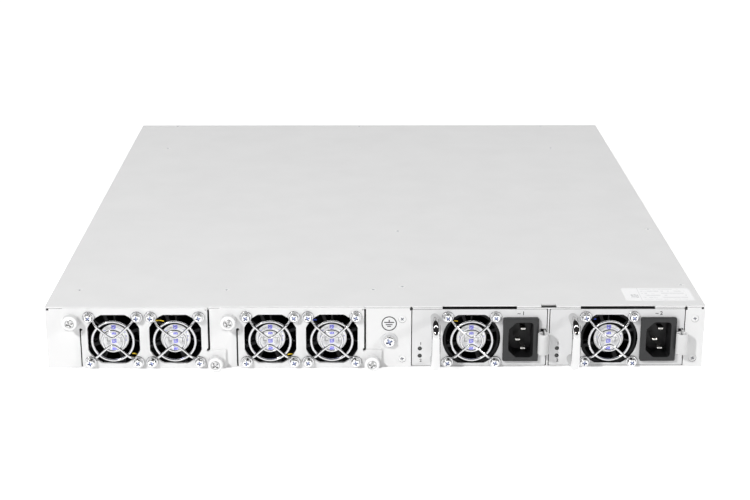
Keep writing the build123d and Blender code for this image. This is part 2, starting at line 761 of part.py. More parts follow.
def psu_inlet():
    """Three-pin mains inlet: housing and its pins, the earth pin on the left."""
    right = inlet_left + inlet_width
    top = inlet_bottom + inlet_height
    flange = block((inlet_left, right), (inlet_bottom, top), (0, inlet_flange))
    flange = fillet(flange.edges().filter_by(Axis.Z), inlet_corner_radius)
    inset = inlet_body_inset
    body = block((inlet_left + inset, right - inset), (inlet_bottom + inset, top - inset),
                 (-inlet_body_depth, 0))
    centre_x = inlet_left + inlet_width / 2
    centre_y = inlet_bottom + inlet_height / 2
    depth = (inlet_flange - cavity_depth, inlet_flange + 1)
    cavity = block(about(0, cavity_width), about(0, cavity_height), depth)
    corners = cavity.edges().filter_by(Axis.Z).sort_by(Axis.X)[:2]
    cavity = chamfer(corners, cavity_chamfer)
    cavity = fillet(cavity.edges().filter_by(Axis.Z).sort_by(Axis.X)[-2:], cavity_corner_radius)
    place = Pos(centre_x, centre_y, 0)
    housing = flange + body - place * cavity
    blade = (inlet_flange - cavity_depth, inlet_flange - cavity_depth + pin_length)
    pins = [block(about(earth_pin_offset, pin_width), about(0, pin_thickness), blade)]
    for side in (-1, 1):
        height = about(side * line_pin_spread, pin_thickness)
        pins.append(block(about(line_pin_offset, pin_width), height, blade))
    return group([housing] + [place * pin for pin in pins])


def psu_lights():
    """Two indicator lenses in the module's face."""
    return group([rod(light_left, height, light_radius, -light_length, 0)
                  for height in (light_low, light_high)])


def psu_board():
    """Module's circuit board with its transformer, capacitors and contact fingers."""
    low = psu_board_bottom
    top = low + psu_board_sheet
    run = (-psu_depth + 2 * psu_wall, -psu_board_front)
    board = block((psu_board_margin, psu_board_right()), (low, top), run)
    fingers = (finger_left, finger_left + finger_width)
    board += block(fingers, (low, top), (-psu_depth - finger_length, run[0] + 1))
    board += block((transformer_left, transformer_left + transformer_size),
                   (top, top + transformer_height),
                   (-transformer_depth - transformer_size, -transformer_depth))
    for index in range(2):
        can = rod(0, 0, can_radius, 0, can_height)
        board += Pos(can_left, top, -can_depth - can_pitch * index) * Rot(-90, 0, 0) * can
    board += block((rib_left, rib_left + rib_width), (top, top + rib_height),
                   (-rib_depth - rib_length, -rib_depth))
    return board


def psu_latch():
    """Sprung release latch: eye round its pin, flat blade, and a tab rolled to an open curl."""
    x = latch_blade_x()
    half = latch_sheet / 2
    tall = latch_high - latch_low
    middle = (latch_low + latch_high) / 2
    inner = latch_curl_radius - latch_sheet
    curl_back = latch_reach - sqrt(inner ** 2 - latch_curl_shift ** 2)
    blade = block((x - half, x + half), (latch_low, latch_high), (-latch_pivot_depth, curl_back))
    eye_place = Pos(latch_eye_x(), middle, -latch_pivot_depth) * Rot(90, 0, 0)
    eye = Cylinder(latch_pin_radius + shaft_fit + latch_eye_wall, tall)
    hole = Cylinder(latch_pin_radius + shaft_fit, tall + 2)
    curl_x = x - latch_curl_shift
    curl_place = Pos(curl_x, middle, latch_reach) * Rot(90, 0, 0)
    curl = Cylinder(latch_curl_radius, tall) - Cylinder(inner, tall + 2)
    mouth = block((x - half - latch_curl_mouth, x - half), (0, chassis_height), (0, latch_reach))
    curl = curl_place * curl - mouth
    return blade + eye_place * eye + curl - eye_place * hole


# ---------------------------------------------------------------- boards and cooling
def main_board():
    """Main circuit board: full width behind the ports, and a tongue behind the fan trays."""
    rear = rear_y + bay_depth + board_rear_gap
    tongue = rear_y + tray_socket_front + tray_socket_depth + board_rear_gap
    thick = (board_bottom, board_top)
    wide = (left_x + board_side_gap, right_x - board_side_gap)
    board = block(wide, (rear, panel_back - board_front_gap), thick)
    narrow = (wide[0], bay_lefts[0] - bay_divider - board_side_gap)
    return board + block(narrow, (tongue, rear), thick)


def board_standoffs():
    """Posts between the floor and the main board."""
    rear = rear_y + bay_depth + board_rear_gap + standoff_inset
    front = panel_back - board_front_gap - standoff_inset
    tongue = rear_y + tray_socket_front + tray_socket_depth + board_rear_gap + standoff_inset
    side = right_x - board_side_gap - standoff_inset
    places = [(x, y) for y in (rear, (rear + front) / 2, front) for x in (-side, 0, side)]
    places += [(-side, tongue), (0, tongue)]
    return group([rod(x, y, standoff_radius, floor, board_bottom) for x, y in places])


def switch_heatsink():
    """Finned heatsink on the switch chip; the chip's package is its lower step."""
    centre = front_y - sink_front
    base_low = board_top + chip_height
    sink = block(about(0, sink_size), about(centre, sink_size), (base_low, base_low + sink_base))
    sink += block(about(0, chip_size), about(centre, chip_size), (board_top, base_low))
    pitch = (sink_size - sink_fin) / (sink_fins - 1)
    for index in range(sink_fins):
        x = -sink_size / 2 + sink_fin / 2 + pitch * index
        sink += block(about(x, sink_fin), about(centre, sink_size), (base_low, base_low + sink_height))
    return sink


def power_backplane():
    """Upright board behind both power modules."""
    start = rear_y + bay_depth
    return block((bay_lefts[0], bay_right), (start, start + board_sheet), (floor, lip_bottom - 2))


def bay_sockets():
    """Sockets that the fan trays and the power modules plug into."""
    sockets = []
    for centre in tray_centres:
        half = plug_width / 2 + plug_gap
        front = -tray_socket_front
        socket = block((-half - socket_wall, half + socket_wall),
                       (floor, fan_height + plug_height / 2 + plug_gap + socket_wall),
                       (front - tray_socket_depth, front))
        socket -= block((-half, half), about(fan_height, plug_height + 2 * plug_gap),
                        (front - plug_length - plug_gap, front + 1))
        sockets.append(on_rear(socket, centre))
    for left in psu_lefts:
        low = finger_left - plug_gap
        high = finger_left + finger_width + plug_gap
        top = psu_board_bottom + psu_board_sheet + plug_gap
        front = -psu_socket_front
        socket = block((low - socket_wall, high + socket_wall), (floor, top + socket_wall),
                       (front - psu_socket_depth, front))
        socket -= block((low, high), (psu_board_bottom - plug_gap, top),
                        (front - finger_length - plug_gap, front + 1))
        sockets.append(on_rear(socket, left))
    return group(sockets)


# ---------------------------------------------------------------- port side
def cage_columns():
    """Centre of each port column, left block first."""
    pitch = port_width + port_wall
    columns = []
    for centre in block_centres:
        first = centre - pitch * (port_columns - 1) / 2
        columns += [first + pitch * index for index in range(port_columns)]
    return columns


def cage_shell(centre, width, depth):
    """Open-fronted sheet shell round a block of stacked ports."""
    outer = block(about(centre, width), (cage_mouth - depth, cage_mouth),
                  (board_top, board_top + cage_height))
    inner = block(about(centre, width - 2 * port_wall), (cage_mouth - depth + port_wall, cage_mouth + 1),
                  (board_top + port_wall, board_top + cage_height - port_wall))
    return outer - inner


def port_cages():
    """Two six-column cages and the uplink cage."""
    cages = [cage_shell(centre, block_width, port_depth) for centre in block_centres]
    return group(cages + [cage_shell(uplink_x, uplink_block_width, uplink_depth)])


def cage_dividers():
    """Upright sheets between the port columns."""
    pitch = port_width + port_wall
    rise = (board_top + port_wall, board_top + cage_height - port_wall)
    sheets = []
    for centre in block_centres:
        for index in range(1, port_columns):
            x = centre + pitch * (index - port_columns / 2)
            run = (cage_mouth - port_depth + port_wall, cage_mouth)
            sheets.append(block(about(x, port_wall), run, rise))
    return group(sheets)


def spacer_rise():
    """Heights between which the spacer parts the lower and the upper row."""
    low = board_top + port_wall + port_height
    return low, low + port_rise


def port_spacers():
    """Spacers between the lower and the upper ports, set back for the light pipes."""
    spacers = []
    front = cage_mouth - pipe_length
    for x in cage_columns():
        run = (cage_mouth - port_depth + port_wall + connector_depth, front)
        spacers.append(block(about(x, port_width), run, spacer_rise()))
    run = (cage_mouth - uplink_depth + port_wall + connector_depth, cage_mouth)
    spacers.append(block(about(uplink_x, uplink_width), run, spacer_rise()))
    return group(spacers)


def port_connectors():
    """Stacked board connectors at the back of each port column."""
    rise = (board_top + port_wall, board_top + cage_height - port_wall)
    start = cage_mouth - port_depth + port_wall
    connectors = [block(about(x, port_width), (start, start + connector_depth), rise)
                  for x in cage_columns()]
    start = cage_mouth - uplink_depth + port_wall
    connectors.append(block(about(uplink_x, uplink_width), (start, start + connector_depth), rise))
    return group(connectors)


def light_pipes():
    """Light pipes between the port rows, and the row of status lights with its legs."""
    low, high = spacer_rise()
    pipes = []
    for column in cage_columns():
        for side in (-1, 1):
            pipe = rod(0, 0, pipe_radius, 0, pipe_length - 0.4)
            place = Pos(column + side * pipe_spread, cage_mouth - pipe_length, (low + high) / 2)
            pipes.append(place * Rot(-90, 0, 0) * pipe)
    for index in range(status_count):
        x = status_x - status_pitch * index
        lens = Pos(x, panel_back - status_length, status_height) * Rot(-90, 0, 0)
        lens *= rod(0, 0, status_radius, 0, status_length + front_sheet)
        start = panel_back - status_length
        leg = block(about(x, 1.6), (start, start + 1.6), (board_top, status_height))
        pipes.append(lens + leg)
    return group(pipes)


def jack_ports():
    """Floors of the two stacked jack openings."""
    first = board_top + jack_port_floor
    return [first, first + jack_port_pitch]


def rj45_jack():
    """Two stacked eight-way jacks in one housing."""
    jack = block(about(jack_x, jack_width), (cage_mouth - jack_depth, cage_mouth),
                 (board_top, board_top + jack_height))
    run = (cage_mouth - jack_port_depth, cage_mouth + 1)
    for low in jack_ports():
        top = low + jack_port_height
        jack -= block(about(jack_x, jack_port_width), run, (low, top))
        jack -= block(about(jack_x, jack_key_width), run, (top - 1, top + jack_key_height))
    return jack


def reset_switch():
    """Small board switch behind the reset hole."""
    top = panel_back - reset_length + reset_travel
    box = block(about(reset_x, reset_box), (top - reset_box, top), (board_top, reset_height + reset_box / 2))
    start = front_y - reset_recess - reset_length - 2 * reset_travel
    hole = rod(0, 0, reset_radius + reset_hole_gap, 0, top - start + 1)
    return box - Pos(reset_x, start, reset_height) * Rot(-90, 0, 0) * hole


def reset_button():
    """Recessed round reset button."""
    start = front_y - reset_recess - reset_length
    return Pos(reset_x, start, reset_height) * Rot(-90, 0, 0) * rod(0, 0, reset_radius, 0, reset_length)


def front_lip_places():
    """Flush screws on the port panel's top lip: (x, y)."""
    y = front_y - front_lip_depth / 2
    return [(left_x + front_row_left + front_row_pitch * step, y) for step in range(3)]


def vent_field(left, right):
    """Cutters for a field of hexagonal vents in staggered rows, between two places along X."""
    columns = int((right - left - 2 * vent_margin) / vent_pitch - 0.5)
    centre = (left + right) / 2
    cell = extrude(RegularPolygon(vent_width / 2, 6, major_radius=False), 3 * front_sheet)
    cell = Pos(0, panel_back - front_sheet, 0) * Rot(-90, 0, 0) * cell
    row_rise = vent_pitch * sin(radians(60))
    cutters = []
    for row in range(vent_rows):
        shift = vent_pitch * cos(radians(60)) * (row % 2)
        first = centre - vent_pitch * (columns - 0.5) / 2 + shift
        for column in range(columns):
            place = Pos(first + vent_pitch * column, 0, vent_low + row_rise * row)
            cutters.append(place * cell)
    return cutters


def front_panel():
    """Port panel with its top lip, port windows, vents, and holes for lights and reset."""
    panel = block((left_x, right_x), (panel_back, front_y), (0, chassis_height))
    lip_run = (front_y - front_lip_depth, front_y)
    panel += block((left_x, right_x), lip_run, (lip_top, chassis_height))
    through = (panel_back - 1, front_y + 1)
    window = (board_top - cage_panel_gap, board_top + cage_height + cage_panel_gap)
    cuts = []
    for centre in block_centres:
        cuts.append(block(about(centre, block_width + 2 * cage_panel_gap), through, window))
    cuts.append(block(about(uplink_x, uplink_block_width + 2 * cage_panel_gap), through, window))
    jack_rise = (board_top - cage_panel_gap, board_top + jack_height + cage_panel_gap)
    cuts.append(block(about(jack_x, jack_width + 2 * cage_panel_gap), through, jack_rise))
    for index in range(status_count):
        hole = rod(0, 0, status_radius + screw_gap, 0, 3 * front_sheet)
        x = status_x - status_pitch * index
        cuts.append(Pos(x, panel_back - front_sheet, status_height) * Rot(-90, 0, 0) * hole)
    hole = rod(0, 0, reset_radius + reset_hole_gap, 0, 3 * front_sheet)
    cuts.append(Pos(reset_x, panel_back - front_sheet, reset_height) * Rot(-90, 0, 0) * hole)
    cuts += [Pos(x, y, chassis_height) * flush_hole() for x, y in front_lip_places()]
    last_light = status_x - status_pitch * (status_count - 1)
    cuts += vent_field(block_centres[0] + block_width / 2, last_light)
    cuts += vent_field(left_x + chassis_sheet, uplink_x - uplink_block_width / 2)
    return panel - cuts


# ---------------------------------------------------------------- write every node
def save(name, shape):
    """Writes one node."""
    shape.label = name
    export_step(shape, "parts/" + name + ".step")


def save_fan_tray(letter, centre, fan_number):
    """Writes the nodes of one fan tray and its two rotors and thumbscrews."""
    places = tray_fan_places()
    front = Pos(0, 0, tray_sheet)
    frame = fan_frame(fan_size, fan_bore_gap, fan_screw_inset)
    rotor = fan_rotor(fan_size, fan_bore_gap)
    guard = finger_guard(fan_size, fan_screw_inset)
    screws = guard_screws(fan_size, fan_screw_inset)
    save("fan_tray_plate_" + letter, on_rear(tray_plate(), centre))
    save("fan_tray_bracket_" + letter, on_rear(tray_bracket(), centre))
    save("fan_tray_plug_" + letter, on_rear(tray_plug(), centre))
    save("fan_frames_" + letter, on_rear(group([place * frame for place in places]), centre))
    guards = group([front * place * guard for place in places])
    save("finger_guards_" + letter, on_rear(guards, centre))
    all_screws = group([front * place * screw for place in places for screw in screws])
    save("guard_screws_" + letter, on_rear(all_screws, centre))
    for index, place in enumerate(places):
        save("fan_rotor_" + str(fan_number + index), on_rear(place * rotor, centre))


def save_power_module(letter, left):
    """Writes the nodes of one power module."""
    fan_place = Pos(psu_fan_x, psu_fan_height, 0)
    inner = Pos(0, 0, -psu_face)
    frame = fan_frame(psu_fan_size, psu_fan_bore_gap, psu_fan_screw_inset)
    rotor = fan_rotor(psu_fan_size, psu_fan_bore_gap)
    guard = finger_guard(psu_fan_size, psu_fan_screw_inset)
    screws = guard_screws(psu_fan_size, psu_fan_screw_inset)
    save("psu_case_" + letter, on_rear(psu_case(), left))
    save("psu_fan_frame_" + letter, on_rear(inner * fan_place * frame, left))
    save("psu_fan_rotor_" + letter, on_rear(inner * fan_place * rotor, left))
    save("psu_finger_guard_" + letter, on_rear(fan_place * guard, left))
    save("psu_guard_screws_" + letter, on_rear(group([fan_place * screw for screw in screws]), left))
    save("psu_handle_" + letter, on_rear(psu_handle(), left))
    save("psu_inlet_" + letter, on_rear(psu_inlet(), left))
    save("psu_lights_" + letter, on_rear(psu_lights(), left))
    save("psu_board_" + letter, on_rear(psu_board(), left))
    save("psu_latch_" + letter, on_rear(psu_latch(), left))


os.makedirs("parts", exist_ok=True)
save("chassis_base", chassis_base())
save("top_cover", top_cover())
lid_screws = [Pos(x, y, chassis_height) * flush_screw() for x, y in cover_screw_places() + front_lip_places()]
save("cover_screws", group(lid_screws))
save("inner_brackets", inner_brackets())
save("ground_screw", ground_screw())
save("panel_screws", on_rear(group([Pos(x, z, 0) * flush_screw() for x, z in panel_screw_places()])))
save("front_panel", front_panel())
save("port_cages", port_cages())
save("cage_dividers", cage_dividers())
save("port_spacers", port_spacers())
save("port_connectors", port_connectors())
save("light_pipes", light_pipes())
save("rj45_jack", rj45_jack())
save("reset_switch", reset_switch())
save("reset_button", reset_button())
save("main_board", main_board())
save("board_standoffs", board_standoffs())
save("switch_heatsink", switch_heatsink())
save("power_backplane", power_backplane())
save("bay_sockets", bay_sockets())
for number, (letter, centre) in enumerate(zip("ab", tray_centres)):
    save_fan_tray(letter, centre, 2 * number + 1)
for number, (x, height) in enumerate(thumb_places()):
    save("thumbscrew_" + str(number + 1), on_rear(Pos(x, height, tray_sheet) * thumbscrew()))
for letter, left in zip("ab", psu_lefts):
    save_power_module(letter, left)
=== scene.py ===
import math

import bmesh
import bpy
import numpy as np
from mathutils import Matrix, Vector


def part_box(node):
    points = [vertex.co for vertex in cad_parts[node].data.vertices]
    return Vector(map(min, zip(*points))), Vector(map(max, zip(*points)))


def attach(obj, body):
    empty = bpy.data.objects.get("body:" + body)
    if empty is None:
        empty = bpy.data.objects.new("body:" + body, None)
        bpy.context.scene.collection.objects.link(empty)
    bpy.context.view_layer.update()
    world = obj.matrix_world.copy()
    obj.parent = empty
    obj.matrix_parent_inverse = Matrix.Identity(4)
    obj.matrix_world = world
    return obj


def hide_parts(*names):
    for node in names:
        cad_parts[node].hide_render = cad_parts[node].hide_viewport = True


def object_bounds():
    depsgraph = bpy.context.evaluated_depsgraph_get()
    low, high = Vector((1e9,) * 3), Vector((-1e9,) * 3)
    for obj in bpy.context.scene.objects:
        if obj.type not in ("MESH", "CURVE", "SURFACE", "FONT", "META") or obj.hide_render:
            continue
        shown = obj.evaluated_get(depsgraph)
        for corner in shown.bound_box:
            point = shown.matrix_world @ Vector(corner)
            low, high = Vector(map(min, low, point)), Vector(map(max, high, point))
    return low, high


bl_info = {
    "name": "Rackmount Network Switch",
    "version": (1, 0, 0),
    "blender": (4, 5, 0),
    "location": "View3D > Sidebar > Switch",
    "description": "Finishes, guards, screws, labels, printed marks and stage of a rackmount switch",
    "category": "Object",
}

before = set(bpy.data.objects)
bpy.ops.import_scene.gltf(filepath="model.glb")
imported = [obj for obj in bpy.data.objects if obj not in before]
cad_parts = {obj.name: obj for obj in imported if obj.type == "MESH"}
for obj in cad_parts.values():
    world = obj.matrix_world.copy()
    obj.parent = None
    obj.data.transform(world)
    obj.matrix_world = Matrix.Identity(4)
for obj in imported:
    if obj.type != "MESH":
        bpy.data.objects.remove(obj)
cad_low, cad_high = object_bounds()

MM = 0.001
TRAYS = {"a": (1, 2), "b": (3, 4)}
MODULES = ("a", "b")
OUT = np.array((0.0, -1.0, 0.0))    # out of the fan and power side
EAST = np.array((1.0, 0.0, 0.0))
UP = np.array((0.0, 0.0, 1.0))
POINT = 0.001 * MM                  # radius that closes a turned shank
GUARD_KNEE = 10.5 * MM              # along X, where the bent wires leave the guard's raised part
GUARD_FOOT = 13.6 * MM              # and where they reach the loops' level
PAN_HEAD = 3.1 * MM
PAN_SHANK = 1.5 * MM
FLUSH_HEAD = 2.45 * MM
FLUSH_SHANK = 1.3 * MM
EARTH_RING = 5.15 * MM
STICKER = np.array((46.6, 24.6)) * MM


# ---------------------------------------------------------------- sizes and colours a user may change
def tint(name, text, value):
    """Colour property."""
    return bpy.props.FloatVectorProperty(
        name=name, description=text, subtype="COLOR", default=value, min=0.0, max=1.0)


def amount(name, text, value, unit="NONE"):
    """Plain number, length or power."""
    return bpy.props.FloatProperty(name=name, description=text, default=value, unit=unit)


def angle(name, text, degrees):
    """Angle property, given in degrees."""
    return bpy.props.FloatProperty(
        name=name, description=text, subtype="ANGLE", default=math.radians(degrees))


class SwitchFinishes(bpy.types.PropertyGroup):
    """Colours of the painted, moulded and plated pieces."""

    case_paint: tint("Case paint", "Powder coat of the chassis and cover", (0.84, 0.84, 0.84))
    module_paint: tint("Module paint", "Coat of the power module faces", (0.75, 0.75, 0.755))
    fan_plastic: tint("Fan plastic", "Moulded fan frames", (0.007, 0.007, 0.008))
    inlet_plastic: tint("Inlet plastic", "Moulded mains inlets", (0.013, 0.0135, 0.0145))
    board_mask: tint("Board mask", "Solder mask of the circuit boards", (0.02, 0.11, 0.05))
    label_mark: tint("Label blocks", "Printed blocks on the fan labels", (0.16, 0.16, 0.80))


class SwitchSizes(bpy.types.PropertyGroup):
    """Sizes of the wire guards, screws and printed marks."""

    wire_radius: amount("Guard wire", "Radius of the guard wire", 0.8 * MM, "LENGTH")
    outer_ring: amount("Outer ring", "Radius of the guard's outer ring", 13.7 * MM, "LENGTH")
    inner_ring: amount("Inner ring", "Radius of the guard's inner ring", 7.2 * MM, "LENGTH")
    bend_height: amount("Bend height", "Bent wires' distance from the fan's axis", 2.6 * MM, "LENGTH")
    guard_rise: amount("Guard rise", "Raised middle of the guard above its loops", 2.6 * MM, "LENGTH")
    eyelet: amount("Eyelet", "Radius of the loop round each guard screw", 3.3 * MM, "LENGTH")
    screw_reach: amount("Screw reach", "Screws' distance from the fan's axis, each way", 16.0 * MM, "LENGTH")
    label_radius: amount("Fan label", "Radius of the label on the fan's hub", 9.9 * MM, "LENGTH")
    mark_width: amount("Mark line", "Line width of the printed marks", 0.68 * MM, "LENGTH")


class SwitchStage(bpy.types.PropertyGroup):
    """Camera and lights."""

    lens: amount("Lens", "Focal length on a 36 mm sensor", 75.65)
    position: bpy.props.FloatVectorProperty(
        name="Camera", description="Camera's place", subtype="TRANSLATION",
        default=(-0.0123, -1.2395, 0.4060))
    pitch: angle("Pitch", "Camera's tilt below the horizon", 18.16)
    yaw: angle("Yaw", "Camera's turn to the right", 0.68)
    roll: angle("Roll", "Camera's roll", 0.12)
    key_light: amount("Key light", "Power of the light before the left side", 34.0, "POWER")
    side_light: amount("Side light", "Power of the low light at the right side", 12.5, "POWER")
    strip_light: amount("Strip lights", "Power of each of the two strips above", 8.0, "POWER")
    surround: amount("Surround", "Strength of the pale surroundings", 0.72)
    mirrored: amount("Mirrored surround", "Strength of the surroundings in gloss and metal", 1.3)
    ceiling: amount("Ceiling", "Strength of the dark room above", 0.2)


def finishes():
    """The scene's colours."""
    return bpy.context.scene.switch_finishes


def sizes():
    """The scene's sizes."""
    return bpy.context.scene.switch_sizes


# ---------------------------------------------------------------- surfaces
def show(name, data, body=None):
    """Adds an object to the scene, and lets it ride on a body."""
    made = bpy.data.objects.new(name, data)
    bpy.context.scene.collection.objects.link(made)
    if body:
        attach(made, body)
    return made


class Skin:
    """Collects surfaces given as grids of points and makes one mesh object of them."""

    def __init__(self):
        self.points = []
        self.faces = []
        self.flat = []
        self.count = 0

    def grid(self, surface, around=False, along=False, caps=(False, False), uv=None):
        """Adds the quads of a (rows, columns, 3) array.

        around joins the last column to the first, along joins the last row to the first, and caps
        close the first and the last row with one face each. uv is a (rows, columns, 2) array.
        """
        rows, columns = surface.shape[:2]
        index = np.arange(rows * columns).reshape(rows, columns) + self.count
        whole = np.vstack([index, index[:1]]) if along else index
        whole = np.hstack([whole, whole[:, :1]]) if around else whole
        quads = np.stack([whole[:-1, :-1], whole[:-1, 1:], whole[1:, 1:], whole[1:, :-1]], axis=-1)
        self.faces += quads.reshape(-1, 4).tolist()
        if caps[0]:
            self.faces.append(index[0, ::-1].tolist())
        if caps[1]:
            self.faces.append(index[-1].tolist())
        self.points.append(surface.reshape(-1, 3))
        self.flat.append(np.zeros((rows * columns, 2)) if uv is None else uv.reshape(-1, 2))
        self.count += rows * columns
        return self

    def mesh(self, name, material):
        """Mesh of all the grids so far."""
        made = bpy.data.meshes.new(name)
        made.from_pydata(np.concatenate(self.points).tolist(), [], self.faces)
        made.materials.append(material)
        return made

    def piece(self, name, material, body, slot=None, replaces=()):
        """Makes the object, closes its seams, turns its faces outwards and lets it ride on its body."""
        mesh = self.mesh(name, material)
        flat = np.concatenate(self.flat)
        if flat.any():
            layer = mesh.uv_layers.new(name="print")
            corner = np.zeros(len(mesh.loops), np.int32)
            mesh.loops.foreach_get("vertex_index", corner)
            layer.data.foreach_set("uv", flat[corner].astype(np.float32).ravel())
        shape = bmesh.new()
        shape.from_mesh(mesh)
        bmesh.ops.remove_doubles(shape, verts=shape.verts, dist=1e-7)
        bmesh.ops.recalc_face_normals(shape, faces=shape.faces)
        shape.to_mesh(mesh)
        shape.free()
        mesh.polygons.foreach_set("use_smooth", np.ones(len(mesh.polygons), bool))
        mesh.set_sharp_from_angle(angle=math.radians(35.0))
        made = show(name, mesh, body)
        if replaces:
            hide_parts(*replaces)
        return made


def unit(vectors):
    """Vectors scaled to length one."""
    return vectors / np.linalg.norm(vectors, axis=-1, keepdims=True)


def tube(path, radius, up, closed=False, sides=16):
    """Round tube: at each path point, radius * (cos a * side + sin a * lift) over the turn a,
    where side and lift stand square to the path's direction."""
    step = np.roll(path, -1, 0) - np.roll(path, 1, 0) if closed else np.gradient(path, axis=0)
    run = unit(step)
    side = unit(np.cross(run, up))
    lift = np.cross(side, run)
    turn = np.linspace(0, 2 * np.pi, sides, endpoint=False)[None, :, None]
    return path[:, None] + radius * (np.cos(turn) * side[:, None] + np.sin(turn) * lift[:, None])


def lathe(profile, origin, axis=OUT, sides=48):
    """Turned surface: origin + height * axis + radius * (cos a * u + sin a * v) over the turn a,
    for each (radius, height) of the profile."""
    u = unit(np.cross(axis, UP if abs(axis[2]) < 0.9 else EAST))
    v = np.cross(axis, u)
    radius = np.array(profile)[:, 0][:, None, None]
    height = np.array(profile)[:, 1][:, None, None]
    turn = np.linspace(0, 2 * np.pi, sides, endpoint=False)[None, :, None]
    return origin + height * axis + radius * (np.cos(turn) * u + np.sin(turn) * v)


def arc(centre, radius, start, end, steps=6):
    """Profile points on a circle from one angle to another, in degrees."""
    turn = np.radians(np.linspace(start, end, steps))
    return [(centre[0] + radius * math.cos(a), centre[1] + radius * math.sin(a)) for a in turn]


def ring_path(centre, radius, steps=72):
    """Circle in the plane of the fan side."""
    turn = np.linspace(0, 2 * np.pi, steps, endpoint=False)[:, None]
    return centre + radius * (np.cos(turn) * EAST + np.sin(turn) * UP)


def outline(width, height, corner, steps=10):
    """Rounded rectangle, corner by corner, as (x, z) points round its centre."""
    points = []
    for quarter, (sx, sz) in enumerate(((1, 1), (-1, 1), (-1, -1), (1, -1))):
        turn = np.radians(np.linspace(90 * quarter, 90 * quarter + 90, steps))
        centre = (sx * (width / 2 - corner), sz * (height / 2 - corner))
        points.append(np.stack([centre[0] + corner * np.cos(turn), centre[1] + corner * np.sin(turn)], 1))
    return np.concatenate(points)


def slab(centre, width, height, depth, corner, edge):
    """Plate with rounded corners and a rounded front edge: the rounded rectangle is inset by
    edge * (1 - cos a) while it rises by edge * sin a; its back is at centre, its front at depth."""
    rows = [(0.0, 0.0)]
    for a in np.linspace(0, np.pi / 2, 5):
        rows.append((edge * (1 - math.cos(a)), depth - edge + edge * math.sin(a)))
    surface = []
    for inset, height_out in rows:
        flat = outline(width - 2 * inset, height - 2 * inset, max(corner - inset, edge * 0.2))
        surface.append(centre + flat[:, :1] * EAST + flat[:, 1:] * UP + height_out * OUT)
    return np.array(surface)


def node_middle(name):
    """Middle of a CAD node's box."""
    low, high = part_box(name)
    return np.array((low + high) / 2)


def on_face(name, y):
    """Middle of a CAD node's box, moved to a face at y."""
    middle = node_middle(name)
    return np.array((middle[0], y, middle[2]))


def fan_seats():
    """Guard seats as (centre on the face behind the guard, body), the trays' before the modules'."""
    seats = []
    for letter, numbers in TRAYS.items():
        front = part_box("fan_tray_plate_" + letter)[0].y
        seats += [(on_face("fan_rotor_" + str(number), front), "fan_tray_" + letter) for number in numbers]
    for letter in MODULES:
        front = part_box("psu_case_" + letter)[0].y
        seats.append((on_face("psu_fan_rotor_" + letter, front), "psu_" + letter))
    return seats


# ---------------------------------------------------------------- shader trees
class Wiring:
    """Adds and joins nodes in one shader tree."""

    def __init__(self, tree):
        self.tree = tree

    def node(self, kind, **settings):
        """One node with its settings."""
        made = self.tree.nodes.new("ShaderNode" + kind)
        for key, value in settings.items():
            setattr(made, key, value)
        return made

    def put(self, value, socket):
        """Joins a socket, or writes a plain value."""
        if isinstance(value, bpy.types.NodeSocket):
            self.tree.links.new(value, socket)
        else:
            socket.default_value = value

    def sum(self, operation, *values, clamp=False):
        """One step of arithmetic."""
        made = self.node("Math", operation=operation, use_clamp=clamp)
        for value, socket in zip(values, made.inputs):
            self.put(value, socket)
        return made.outputs[0]

    def plus(self, *values, clamp=False):
        """Sum of two values."""
        return self.sum("ADD", *values, clamp=clamp)

    def minus(self, *values):
        """Difference of two values."""
        return self.sum("SUBTRACT", *values)

    def times(self, *values):
        """Product of two values."""
        return self.sum("MULTIPLY", *values)

    def most(self, *values):
        """Larger of two values."""
        return self.sum("MAXIMUM", *values)

    def between(self, value, low, high):
        """1 where a value lies between two limits."""
        return self.times(self.sum("GREATER_THAN", value, low), self.sum("LESS_THAN", value, high))

    def near(self, value, centre, half):
        """1 where a value is within half of the centre."""
        return self.sum("LESS_THAN", self.sum("ABSOLUTE", self.minus(value, centre)), half)

    def axes(self, place):
        """The three parts of a coordinate."""
        made = self.node("SeparateXYZ")
        self.put(place, made.inputs[0])
        return made.outputs

    def print_place(self):
        """The piece's own printed coordinates."""
        return self.node("UVMap", uv_map="print").outputs[0]

    def noise(self, place, scale, detail=3.0, roughness=0.55):
        """Noise texture value."""
        made = self.node("TexNoise")
        self.put(place, made.inputs["Vector"])
        self.put(scale, made.inputs["Scale"])
        made.inputs["Detail"].default_value = detail
        made.inputs["Roughness"].default_value = roughness
        return made.outputs["Fac"]

    def span(self, value, low, high, new_low=0.0, new_high=1.0):
        """Maps one span of values to another."""
        made = self.node("MapRange")
        for item, socket in zip((value, low, high, new_low, new_high), made.inputs):
            self.put(item, socket)
        return made.outputs[0]

    def mix(self, factor, first, second, blend="MIX"):
        """Colour mix."""
        made = self.node("Mix", data_type="RGBA", blend_type=blend)
        for value, socket in zip((factor, first, second), (made.inputs[0], made.inputs[6], made.inputs[7])):
            self.put(value, socket)
        return made.outputs[2]

    def stretch(self, place, scale):
        """Scales a coordinate."""
        made = self.node("Mapping")
        self.put(place, made.inputs["Vector"])
        self.put(scale, made.inputs["Scale"])
        return made.outputs[0]

    def object_place(self):
        """Object coordinates."""
        return self.node("TexCoord").outputs["Object"]

    def bump(self, height, strength, distance):
        """Bump normal."""
        made = self.node("Bump")
        self.put(height, made.inputs["Height"])
        made.inputs["Strength"].default_value = strength
        made.inputs["Distance"].default_value = distance
        return made.outputs[0]


